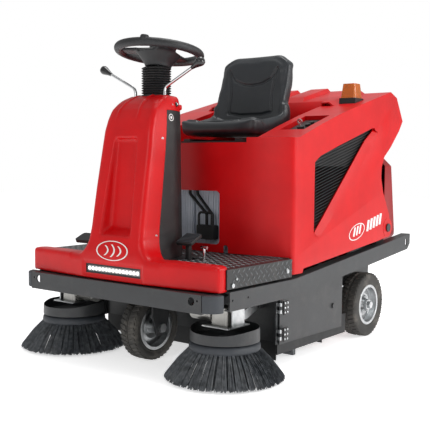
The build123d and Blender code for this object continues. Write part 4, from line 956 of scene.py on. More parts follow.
@dataclass
class Fairing:
    """Red nose and column, black rear cover, badge, lamp and small column details."""

    shop: Workshop
    sections: tuple[tuple[float, ...], ...] = (
        (405, 222, 15, 84, 334), (424, 190, 15, 84, 334), (440, 170, 16, 83, 334),
        (462, 154, 20, 82, 333),
        (490, 143, 26, 81, 333), (530, 138, 33, 80, 332), (670, 135, 55, 76, 332),
        (830, 131, 84, 72, 333),
        (900, 127, 95, 71, 333), (945, 123, 109, 70, 333), (980, 118, 125, 70, 332),
        (1003, 113, 145, 70, 331),
        (1018, 108, 165, 69, 330), (1029, 100, 186, 68, 328), (1038, 88, 210, 64, 324))
    voxel: float = 4.6
    wall: float = 4.0
    cover_top: float = 978.0
    joint_low: float = 112.0
    recess_z: tuple[float, float] = (492.0, 882.0)
    recess_half: tuple[float, float] = (76.0, 64.0)
    recess_floor: tuple[float, float] = (76.0, 106.0)
    creases: tuple[float, ...] = (-64.0, 44.0)

    def build(self) -> None:
        """Build shells, badge, lamp and details."""
        skin = self._skin()
        shell, cover = self._split(skin)
        self.shop.piece("fairing_shell", shell, RED_SHELL, "chassis", "red_shell", 35.0)
        self._thicken("fairing_shell")
        self.shop.piece("column_rear_cover", cover, BLACK_ABS, "chassis", "black_plastic", 35.0)
        self._thicken("column_rear_cover")
        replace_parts(bpy.data.objects["fairing_shell"], "front_fairing")
        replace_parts(bpy.data.objects["column_rear_cover"], "column_cover")
        self._badge()
        self._lamp()
        self._column_top()

    def _thicken(self, name: str) -> None:
        """Give an open shell its wall, inwards.

        Args:
            name: Piece name.
        """
        mod = bpy.data.objects[name].modifiers.new("wall", "SOLIDIFY")
        mod.thickness = self.wall * MM
        mod.offset = -1.0

    def _skin(self) -> bmesh.types.BMesh:
        """Fuse nose and column into one soft closed skin.

        Returns:
            The skin, before its openings are cut.
        """
        bm = bmesh.new()
        rings = [self._ring(bm, *row) for row in self.sections]
        for below, above in zip(rings, rings[1:]):
            bmesh.ops.bridge_loops(bm, edges=below + above)
        middle = [f for f in bm.faces if len(f.verts) > 8 and abs(f.normal.z) > 0.9
                  and 0.41 < f.calc_center_median().z < (self.sections[-1][0] - 2) * MM]
        bmesh.ops.delete(bm, geom=middle, context="FACES_ONLY")
        bmesh.ops.recalc_face_normals(bm, faces=bm.faces)
        bm = carved(bm, self._recess())
        nose = prism([(-487, 70), (-485, 44), (-300, 26), (-150, 15), (150, 15), (300, 26),
                      (485, 44), (487, 70),
                      (487, 92), (466, 112), (-466, 112), (-487, 92)], 334, 427, "z")
        hard = [e for e in nose.edges if e.calc_face_angle(0.0) > 0.5 and min(v.co.z for v in e.verts) > 0.33]
        rounded(nose, [e for e in hard if max(v.co.z for v in e.verts) > 0.4], 0.011, 3)
        stamp(bm, as_mesh(nose), [Matrix.Identity(4)])
        skin = fused(bm, self.voxel, 7)
        # wide hollow fillets where the column grows out of the nose
        foot = [v for v in skin.verts if 0.40 < v.co.z < 0.50 and 0.130 < abs(v.co.x) < 0.24]
        soften(skin, foot, 30)
        self._press(skin)
        return skin

    def _ring(self, bm: bmesh.types.BMesh, z: float, half: float, front: float, half_back: float,
              back: float) -> list[bmesh.types.BMEdge]:
        """Add one rounded section of the column.

        Args:
            bm: Mesh to add to.
            z: Height.
            half: Half width at the front.
            front: Distance of the front.
            half_back: Half width at the back.
            back: Distance of the back.

        Returns:
            The edges round the section.
        """
        side = min(half, 138.0)
        outline = ((-half, front), (half, front), (side, 240), (half_back, back),
                   (-half_back, back), (-side, 240))
        verts = [bm.verts.new(at(x, d, z)) for x, d in outline]
        bm.faces.new(verts)
        rounded(bm, verts, (22 if z < 1000 else 30) * MM, 5, "VERTICES")
        face = next(f for f in bm.faces if all(abs(v.co.z - z * MM) < 1e-7 for v in f.verts))
        return list(face.edges)

    def _recess(self) -> bmesh.types.BMesh:
        """Shape the tapered plug that leaves the column's front recess.

        Returns:
            The closed plug.
        """
        (z0, z1), (low, high), (f0, f1) = self.recess_z, self.recess_half, self.recess_floor
        bm = bmesh.new()
        loops = []
        for d0, d1, spread, bottom, top in ((-40, 20, 28, -40, 18), (f0, f1, -14, 44, -16)):
            corners = ((-low - spread, d0, z0 + bottom), (low + spread, d0, z0 + bottom),
                       (high + spread, d1, z1 + top), (-high - spread, d1, z1 + top))
            face = bm.faces.new([bm.verts.new(at(*corner)) for corner in corners])
            loops += list(face.edges)
        bmesh.ops.bridge_loops(bm, edges=loops)
        bmesh.ops.recalc_face_normals(bm, faces=bm.faces)
        return bm

    def _press(self, skin: bmesh.types.BMesh) -> None:
        """Press the lamp surround and the top creases into the skin.

        Args:
            skin: The closed skin.
        """
        for vert in skin.verts:
            x, z = vert.co.x / MM, vert.co.z / MM
            facing = -vert.normal.y
            if facing > 0.5 and abs(x) < 172 and 340 < z < 410:
                depth = min((160 - abs(x)) / 9.0, (408 - z) / 9.0, (z - 341) / 9.0)
                vert.co.y += 5 * MM * ramp(depth)
            if z > 900 and vert.normal.z + facing > 0.75:
                for crease in self.creases:
                    line = crease * (1.0 - 0.35 * ramp((z - 960) / 90))
                    rise = math.exp(-((x - line) / 5.0) ** 2) * ramp((z - 930) / 40)
                    vert.co += vert.normal * 3.4 * MM * rise

    def _split(self, skin: bmesh.types.BMesh) -> tuple[bmesh.types.BMesh, bmesh.types.BMesh]:
        """Cut openings and part the skin at the joint line.

        Args:
            skin: The closed skin.

        Returns:
            Open red shell and open black cover.
        """
        tools = bmesh.new()
        grow_box(tools, (-144, -20, 356), (144, 60, 392))
        for side in (-1, 1):
            grow_box(tools, (side * 74 - 9, 206, 990), (side * 74 + 9, 272, 1080))
        hole = turned(0, 258, 1010)
        lathe(tools, [(0, 0), (44, 0), (44, 60), (0, 60)], hole, 40)
        skin = carved(skin, tools)
        slope = (170 - self.joint_low) / 424
        cover = skin.copy()
        shell = skin
        for bm, keep_cover in ((shell, False), (cover, True)):
            for point, normal in ((at(0, 0, self.cover_top), (0, 0, 1)),
                                  (at(0, self.joint_low, 404), (0, 1, -slope))):
                bmesh.ops.bisect_plane(bm, geom=bm.verts[:] + bm.edges[:] + bm.faces[:],
                                       plane_co=point,
                                       plane_no=normal)
            gone = []
            for face in bm.faces:
                c = face.calc_center_median()
                behind = (c.y + MID) / MM - self.joint_low - (c.z / MM - 404) * slope > 0
                in_cover = behind and c.z < self.cover_top * MM and abs(c.x) < 0.2
                if in_cover != keep_cover or c.z < 0.3375:
                    gone.append(face)
            bmesh.ops.delete(bm, geom=gone, context="FACES")
        bmesh.ops.scale(cover, vec=(0.996, 1.0, 1.0), verts=cover.verts)
        return shell, cover

    def _badge(self) -> None:
        """Lay the plain oval badge low on the front of the column."""
        shell = bpy.data.objects["fairing_shell"]
        bm = bmesh.new()
        bmesh.ops.create_circle(bm, cap_ends=False, segments=72, radius=1.0)
        out = bmesh.ops.extrude_edge_only(bm, edges=bm.edges[:])
        bmesh.ops.scale(bm, vec=(0.92, 0.92, 1), verts=points(out["geom"]))
        self._bars(bm)
        half_width, half_height = 83, 37
        for vert in bm.verts:
            vert.co = at(vert.co.x * half_width, -30, 449 + vert.co.y * half_height)
        self._project(bm, shell, Vector((0, 1, 0)), 0.7)
        self.shop.piece("nose_badge_ring", bm, DECAL, "chassis", "grey_plastic", 60.0)

    def _bars(self, bm: bmesh.types.BMesh) -> None:
        """Add a plain chevron of slanted bars inside the unit oval.

        Args:
            bm: Mesh of the badge.
        """
        for start, height in ((-0.5, 0.5), (-0.1, 0.62), (0.3, 0.5)):
            steps = 8
            rows = []
            for i in range(steps + 1):
                y = -height + 2 * height * i / steps
                x = start + 0.2 * (1 - (y / height) ** 2)
                rows.append((bm.verts.new((x, y, 0)), bm.verts.new((x + 0.10, y, 0))))
            for (a, b), (c, d) in zip(rows, rows[1:]):
                bm.faces.new((a, b, d, c))

    def _project(self, bm: bmesh.types.BMesh, target: bpy.types.Object, way: Vector,
                 lift: float) -> None:
        """Drop a flat print onto a surface.

        Args:
            bm: The print.
            target: Surface piece.
            way: Direction to look along.
            lift: Height above the surface in millimetres.
        """
        for vert in bm.verts:
            hit, place, normal, _ = target.ray_cast(vert.co, way)
            if hit:
                vert.co = place + normal * lift * MM
        bmesh.ops.recalc_face_normals(bm, faces=bm.faces)
        if bm.faces[:][0].normal.dot(way) > 0:
            bmesh.ops.reverse_faces(bm, faces=bm.faces)

    def _lamp(self) -> None:
        """Add the row of emitters behind the lamp's lens."""
        bm = bmesh.new()
        shape = bmesh.new()
        bmesh.ops.create_cone(shape, cap_ends=True, segments=12, radius1=0.0085, radius2=0.006,
                              depth=0.004)
        cell = as_mesh(shape)
        turn = Matrix.Rotation(math.radians(90), 4, "X")
        places = [Matrix.Translation(at(-126 + i * 18, 22.2, 374)) @ turn for i in range(15)]
        stamp(bm, cell, places)
        bpy.data.meshes.remove(cell)
        self.shop.piece("lamp_emitters", bm, LED, "chassis", "lamp_clear", 30.0)

    def _column_top(self) -> None:
        """Add switch barrels, red lip and the plain round pictogram."""
        bm = bmesh.new()
        for d, z, radius in ((232, 996, 10.5), (262, 1000, 9.0)):
            barrel = [(0, 0), (radius, 0), (radius, 14), (radius - 2, 16), (radius - 4, 16),
                      (radius - 4, 12), (0, 12)]
            lathe(bm, barrel, turned(93, d, z, (1, 0.1, 0.25)), 24)
        self.shop.piece("column_switch_barrels", bm, KNOB, "chassis", "black_plastic", 30.0)
        bm = bmesh.new()
        for d, z in ((232, 996), (262, 1000)):
            lathe(bm, [(0, 0), (4.2, 0), (4.2, 17), (2.5, 19), (0, 19.5)],
                  turned(93, d, z, (1, 0.1, 0.25)), 16)
        self.shop.piece("column_switch_keys", bm, CHROME, "chassis", "chrome", 30.0)
        bm = bmesh.new()
        grow_box(bm, (-66, 300, 986), (66, 344, 1008))
        rounded(bm, bm.edges[:], 0.006, 3)
        self.shop.piece("column_rear_lip", bm, RED_SHELL, "chassis", "red_shell", 40.0)
        cover = bpy.data.objects["column_rear_cover"]
        bm = bmesh.new()
        for inner, outer in ((8.6, 11.0), (0.0, 4.4)):
            loop = bmesh.ops.create_circle(bm, cap_ends=inner == 0.0, segments=32,
                                           radius=outer)["verts"]
            if inner:
                edges = [e for e in bm.edges if e.verts[0] in loop and e.verts[1] in loop]
                out = bmesh.ops.extrude_edge_only(bm, edges=edges)
                bmesh.ops.scale(bm, vec=(inner / outer, inner / outer, 1),
                                verts=points(out["geom"]))
        for vert in bm.verts:
            vert.co = at(200, 212 + vert.co.x * 1.25, 950 + vert.co.y * 1.25)
        self._project(bm, cover, Vector((-1, 0, 0)), 0.6)
        self.shop.piece("column_pictogram", bm, DECAL, "chassis", "grey_plastic", 60.0)


@dataclass
class Steering:
    """Steering wheel, spinner knob, bellows and hand levers."""

    shop: Workshop
    centre: tuple[float, float, float] = (0.0, 279.0, 1210.0)
    tilt: float = 7.3
    ring: float = 163.0
    boot_d: float = 262.0
    lever_foot: tuple[float, float, float] = (74.0, 226.0, 986.0)
    extra: float = 3.4
    rod: float = 5.8
    lever_bend: tuple[float, float, float] = (77.0, 226.0, 1066.0)
    lever_end: tuple[float, float, float] = (240.0, 226.0, 1146.0)

    def build(self) -> None:
        """Build the steering group."""
        bm = self.shop.merged("steering_wheel")
        place = Matrix.Translation(at(*self.centre)) @ \
            Matrix.Rotation(math.radians(-self.tilt), 4, "X")
        back = place.inverted()
        bm = fused(bm, 3.2, 5)
        for vert in bm.verts:
            p = back @ vert.co
            flat = Vector((p.x, p.y, 0))
            centre = flat.normalized() * self.ring * MM
            out = p - centre
            if out.length < 19 * MM and flat.length > 1e-6:
                vert.co = place @ (centre + out * (1 + self.extra / 14.0) - flat.normalized() * 2.6 * MM)
        soften(bm, bm.verts, 3)
        wheel = self.shop.piece("steering_wheel_moulding", bm, GRIP, "steering", "black_plastic",
                                45.0)
        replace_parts(wheel, "steering_wheel")
        bm = bmesh.new()
        lathe(bm, [(0, 10), (9, 10), (9, 20), (15, 22), (17, 28), (17, 38), (14, 43), (0, 45)],
              place @ Matrix.Translation((0.060, -0.152, -0.020)), 28)
        self.shop.piece("spinner_knob", bm, BLACK_ABS, "steering", "black_plastic", 40.0)
        self._bellows()
        for side, sign in SIDES:
            self._lever(side, sign)

    def _bellows(self) -> None:
        """Turn the ribbed bellows and its seat ring."""
        bm = bmesh.new()
        count, low, high = 11, 1046.0, 1150.0
        pitch = (high - low) / count
        profile = [(43, 1034), (58, 1034), (58, 1041), (52, 1043), (50, low)]
        for i in range(count):
            z = low + i * pitch
            profile += [(57.5, z + 2.0), (58.6, z + 3.4), (57.5, z + 4.8), (50.0, z + pitch - 0.6)]
        profile += [(49, high), (43, high), (43, 1034)]
        lathe(bm, profile, turned(0, self.boot_d, 0), 56)
        low_c, high_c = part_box("bellows")
        middle = [(a + b) / 2 for a, b in zip(low_c, high_c)]
        shift = Vector((middle[0], middle[1] - at(0, self.boot_d, 0).y, 0))
        bmesh.ops.translate(bm, vec=shift, verts=bm.verts)
        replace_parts(self.shop.piece("bellows_boot", bm, RUBBER, "chassis", "rubber", 60.0),
                    "bellows")

    def _lever(self, side: str, sign: int) -> None:
        """Bend one lever rod and turn its pear knob.

        Args:
            side: Name of the side.
            sign: Side of the machine.
        """
        bend, end = self.lever_bend, self.lever_end
        first, corner, last = ((sign * p[0], p[1], p[2]) for p in (self.lever_foot, bend, end))
        curve = bpy.data.curves.new("rod", "CURVE")
        curve.dimensions = "3D"
        curve.bevel_depth = self.rod * MM
        curve.bevel_resolution = 4
        curve.use_fill_caps = True
        spline = curve.splines.new("NURBS")
        route = [first, (sign * 75, 226, 1030), corner,
                 tuple(c + (e - c) * 0.2 for c, e in zip(corner, last)), last]
        spline.points.add(len(route) - 1)
        for point, place in zip(spline.points, route):
            point.co = (*at(*place), 1.0)
        spline.order_u = 3
        spline.use_endpoint_u = True
        spline.resolution_u = 8
        temp = bpy.data.objects.new("rod", curve)
        bpy.context.scene.collection.objects.link(temp)
        mesh = bpy.data.meshes.new_from_object(temp.evaluated_get(bpy.context.evaluated_depsgraph_get()))
        bpy.data.objects.remove(temp)
        bm = bmesh.new()
        bm.from_mesh(mesh)
        bpy.data.meshes.remove(mesh)
        body = f"hand_lever_{side}"
        rod = self.shop.piece(f"lever_rod_{side}", bm, CHROME, body, "chrome", 50.0)
        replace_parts(rod, f"lever_{side}")
        bm = bmesh.new()
        way = at(*last) - at(*corner)
        pear = [(0, -34), (6.5, -34), (7.5, -30), (9, -20), (13, -6), (16.5, 6), (17.5, 14),
                (15, 22), (9, 27), (0, 28)]
        lathe(bm, pear, turned(*last, way), 32)
        knob = self.shop.piece(f"lever_pear_{side}", bm, KNOB, body, "black_plastic", 60.0)
        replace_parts(knob, f"lever_knob_{side}")


@dataclass
class Pedals:
    """Drive pedal with its bright pad and the rubber flap pedal."""

    shop: Workshop

    def build(self) -> None:
        """Build both pedals."""
        self.shop.refine("drive_pedal", BLACK_ABS, "accelerator", "black_plastic", 2.0)
        self.shop.refine("flap_pedal", RUBBER, "flap_lifter", "rubber", 2.0)
        bm = bmesh.new()
        tilt = Matrix.Translation(at(193, 236, 489)) @ Matrix.Rotation(math.radians(24), 4, "X")
        for i in range(7):
            verts = bmesh.ops.create_cube(bm, size=1.0)["verts"]
            bmesh.ops.scale(bm, vec=(0.066, 0.0045, 0.003), verts=verts)
            place = Matrix.Translation((0, (-30 + i * 10) * MM, 0.0072))
            bmesh.ops.transform(bm, matrix=tilt @ place, verts=verts)
        self.shop.piece("drive_pedal_ribs", bm, GREY_BUFFER, "accelerator", "black_plastic", 30.0)
        bm = bmesh.new()
        verts = bmesh.ops.create_cube(bm, size=1.0)["verts"]
        bmesh.ops.scale(bm, vec=(0.074, 0.074, 0.003), verts=verts)
        upright = [e for e in bm.edges if abs(e.verts[0].co.z - e.verts[1].co.z) > 0.001]
        rounded(bm, upright, 0.014, 5)
        bmesh.ops.transform(bm, matrix=tilt @ Matrix.Translation((0, 0, 0.0035)), verts=bm.verts)
        self.shop.piece("drive_pedal_plate", bm, PEDAL_GREY, "accelerator", "grey_plastic", 40.0)


@dataclass
class SideBrush:
    """Side brushes: open sheet cup, collar, fanned bristle tufts and the gear motor's details."""

    shop: Workshop
    centre: tuple[float, float] = (402.0, 191.0)
    root: tuple[float, float] = (119.0, 121.0)
    tip: tuple[float, float] = (219.0, 8.0)
    tufts: int = 54
    strands: int = 40
    cup_radius: float = 128.0
    cup_dip: float = 13.0
    motor_height: float = 234.0

    def build(self) -> None:
        """Build both brushes."""
        for side, sign in SIDES:
            self._bristles(side, sign)
            self._collar(side, sign)
            self._cup(side, sign)
            self._motor(side, sign)
            self.shop.refine(f"brush_motor_{side}", ALUMINIUM, f"lift_{side}", "aluminium", 5.0,
                             30.0)
            self.shop.refine(f"brush_arm_{side}", ZINC, f"lift_{side}", "zinc_steel", 1.5, 30.0)

    def _tuft(self, rng: random.Random, inset: float = 0.0) -> bpy.types.Mesh:
        """Make one fanned tuft in the plane of X outwards and Z up.

        Args:
            rng: Seeded random numbers.
            inset: How far inside the outer row it stands, in millimetres.

        Returns:
            The tuft's mesh.
        """
        bm = bmesh.new()
        for _ in range(self.strands):
            spread = rng.uniform(-1, 1)
            lean = rng.uniform(-1, 1)
            length = rng.uniform(0.93, 1.0)
            ring = bmesh.ops.create_circle(bm, cap_ends=False, segments=3, radius=0.00115)["verts"]
            base = Vector((self.root[0] - inset * 0.5 + lean * 3.0, spread * 3.5,
                           self.root[1])) * MM
            end = Vector((self.root[0] + (self.tip[0] - self.root[0]) * length + lean * 2.5 - inset,
                          spread * 10.8 + rng.uniform(-1.0, 1.0),
                          self.root[1] + (self.tip[1] - self.root[1]) * length)) * MM
            way = (end - base).normalized()
            turn = UP.rotation_difference(way).to_matrix()
            bmesh.ops.transform(bm, matrix=Matrix.Translation(base) @ turn.to_4x4(), verts=ring)
            edges = [e for e in bm.edges if e.verts[0] in ring and e.verts[1] in ring]
            for share, bulge in ((0.5, 7.0), (0.5, 0.0)):
                out = bmesh.ops.extrude_edge_only(bm, edges=edges)["geom"]
                verts = points(out)
                edges = [g for g in out if isinstance(g, bmesh.types.BMEdge)
                         and all(v in verts for v in g.verts)]
                goal = base.lerp(end,
                                 share) + Vector((bulge, 0, bulge)) * MM * 0.45 if bulge else end
                centre = sum((v.co for v in verts), Vector()) / 3
                bmesh.ops.translate(bm, vec=goal - centre, verts=verts)
        return as_mesh(bm)

    def _bristles(self, side: str, sign: int) -> None:
        """Stand the tufts round the collar.

        Args:
            side: Name of the side.
            sign: Side of the machine.
        """
        rng = random.Random(11 + sign)
        kinds = [self._tuft(rng) for _ in range(5)]
        bm = bmesh.new()
        middle = at(sign * self.centre[0], self.centre[1], 0)
        for i in range(self.tufts):
            angle = math.tau * (i + rng.uniform(-0.12, 0.12)) / self.tufts
            stamp(bm, kinds[i % 5], [Matrix.Translation(middle) @ Matrix.Rotation(angle, 4, "Z")])
        inner = [self._tuft(rng, 17.0) for _ in range(3)]
        for i in range(self.tufts):
            angle = math.tau * (i + 0.5) / self.tufts
            stamp(bm, inner[i % 3], [Matrix.Translation(middle) @ Matrix.Rotation(angle, 4, "Z")])
        kinds += inner
        for kind in kinds:
            bpy.data.meshes.remove(kind)
        bmesh.ops.recalc_face_normals(bm, faces=bm.faces)
        obj = self.shop.piece(f"bristle_tufts_{side}", bm, BRISTLE, f"side_brush_{side}", "bristle",
                              80.0)
        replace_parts(obj, f"bristles_{side}")

    def _collar(self, side: str, sign: int) -> None:
        """Turn the plastic collar that holds the tufts.

        Args:
            side: Name of the side.
            sign: Side of the machine.
        """
        bm = bmesh.new()
        profile = [(22, 140), (22, 126), (96, 124), (108, 112), (124, 106), (130, 112), (131, 122),
                   (129, 132),
                   (122, 139), (110, 141), (104, 139), (100, 136), (40, 136), (38, 140), (22, 140)]
        lathe(bm, profile, turned(sign * self.centre[0], self.centre[1], 0), 72)
        obj = self.shop.piece(f"brush_collar_{side}", bm, GREY_BUFFER, f"side_brush_{side}",
                              "grey_plastic", 50.0)
        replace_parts(obj, f"brush_hub_{side}")

    def _cup(self, side: str, sign: int) -> None:
        """Roll the open-topped sheet cup over the collar.

        Args:
            side: Name of the side.
            sign: Side of the machine.
        """
        bm = bmesh.new()
        profile = [(30, 147), (116, 147), (121, 146), (124, 143.5), (128, 143.5), (128, 150),
                   (127, 192), (124.5, 192),
                   (124.5, 152), (121, 150), (30, 150), (30, 147)]
        lathe(bm, profile, turned(sign * self.centre[0], self.centre[1], 0), 96)
        for vert in bm.verts:
            if vert.co.z > 0.19:
                lead = (vert.co.y - at(0, self.centre[1], 0).y) / (self.cup_radius * MM)
                vert.co.z -= self.cup_dip * MM * ramp(-lead)
        obj = self.shop.piece(f"brush_cup_{side}", bm, GREY_STEEL, f"lift_{side}", "dark_steel",
                              40.0)
        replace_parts(obj, f"brush_shroud_{side}")

    def _motor(self, side: str, sign: int) -> None:
        """Add the motor's end cap and its four screws.

        Args:
            side: Name of the side.
            sign: Side of the machine.
        """
        low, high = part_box(f"brush_motor_{side}")
        bm = bmesh.new()
        outer = high[0] if sign > 0 else low[0]
        middle = (low[1] + high[1]) / 2
        turn = UP.rotation_difference(Vector((sign, 0, 0))).to_matrix().to_4x4()
        place = Matrix.Translation((outer - sign * 0.003, middle, self.motor_height * MM)) @ turn
        lathe(bm, [(0, 0), (24, 0), (24, 2.5), (21, 4.5), (9, 5.5), (8, 8), (0, 9)], place, 32)
        for i in range(4):
            a = math.radians(45 + 90 * i)
            screw = place @ Matrix.Translation((math.cos(a) * 0.0185, math.sin(a) * 0.0185, 0.004))
            lathe(bm, [(0, 0), (2.8, 0), (2.8, 2.0), (0, 2.6)], screw, 10)
        self.shop.piece(f"brush_motor_cap_{side}", bm, ALUMINIUM, f"lift_{side}", "aluminium", 40.0)


@dataclass
class Wheels:
    """Tyres with tread blocks and galvanised dished rims."""

    shop: Workshop
    rim: float = 88.0
    front: tuple[float, float, float] = (0.0, 227.0, 132.0)
    rear: tuple[float, float, float] = (448.0, 1163.0, 145.0)
    bolt_circle: float = 34.0
    bolt_inset: float = 26.0
    tread_pitch: float = 21.0

    def build(self) -> None:
        """Build the three wheels."""
        self._tyre("front_tyre", "front_wheel", *self.front)
        self._rim("front_rim", "front_wheel")
        for side, sign in SIDES:
            x, d, radius = self.rear
            self._tyre(f"rear_tyre_{side}", f"rear_wheel_{side}", sign * x, d, radius)
            self._rim(f"rear_rim_{side}", f"rear_wheel_{side}")
            self._bolts(side, sign)

    def _tyre(self, node: str, body: str, x: float, d: float, radius: float) -> None:
        """Mould one tyre with two rows of staggered blocks.

        Args:
            node: CAD node that it replaces.
            body: Body that it rides on.
            x: Middle of the tyre.
            d: Axle distance.
            radius: Outer radius.
        """
        place = turned(x, d, radius, (1, 0, 0))
        r, b = radius, self.rim
        half = [(b, 33), (b + 4, 37), (b + 9, 38.5), (b + 12, 37.5), ((r + b) / 2, 41.5),
                (r - 16, 41), (r - 8, 37.5),
                (r - 4.5, 31), (r - 3.6, 24), (r - 3.6, 3), (r - 6.5, 2.4)]
        profile = half + [(p, -h) for p, h in reversed(half)] + [half[0]]
        bm = bmesh.new()
        lathe(bm, profile, place, 96)
        block = bmesh.new()
        bmesh.ops.create_cube(block, size=1.0)
        bmesh.ops.scale(block, vec=(0.0052, 0.0125, 0.029), verts=block.verts)
        rounded(block, [e for e in block.edges if min(v.co.x for v in e.verts) > 0], 0.0011, 1)
        for vert in block.verts:
            if vert.co.z > 0.012:
                vert.co.x -= 0.0016
        shape = as_mesh(block)
        flipped = shape.copy()
        flipped.transform(Matrix.Rotation(math.pi, 4, "X"))
        count = round(math.tau * r / self.tread_pitch)
        for i in range(count):
            for kind, shift, height in ((shape, 0.0, 0.0215), (flipped, 0.5, -0.0215)):
                turn = Matrix.Rotation(math.tau * (i + shift) / count, 4, "Z")
                lean = Matrix.Rotation(math.radians(18 if height > 0 else -18), 4, "X")
                out = Matrix.Translation(((r - 2.8) * MM, 0, height))
                stamp(bm, kind, [place @ turn @ out @ lean])
        bpy.data.meshes.remove(shape)
        bpy.data.meshes.remove(flipped)
        obj = self.shop.piece(f"{node}_moulding", bm, TYRE, body, "tyre", 35.0)
        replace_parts(obj, node)

    def _rim(self, node: str, body: str) -> None:
        """Finish a rim's pressed edges.

        Args:
            node: CAD node.
            body: Body that it rides on.
        """
        self.shop.refine(node, ZINC, body, "zinc_steel", 1.6, 28.0, 38.0)

    def _bolts(self, side: str, sign: int) -> None:
        """Add the wheel bolts.

        Args:
            side: Name of the side.
            sign: Side of the machine.
        """
        face = outer_face(f"rear_rim_{side}", sign)
        _, d, radius = self.rear
        bm = bmesh.new()
        for i in range(5):
            a = math.tau * i / 5 + 0.3
            place = turned(face - sign * self.bolt_inset, d + self.bolt_circle * math.cos(a),
                           radius + self.bolt_circle * math.sin(a), (sign, 0, 0))
            nut = [(0, 0), (8.5, 0), (8.5, 9), (6.5, 11), (3.5, 11), (3.5, 14), (0, 14)]
            lathe(bm, nut, place, 6)
        self.shop.piece(f"wheel_bolts_{side}", bm, ZINC, f"rear_wheel_{side}", "zinc_steel", 30.0)


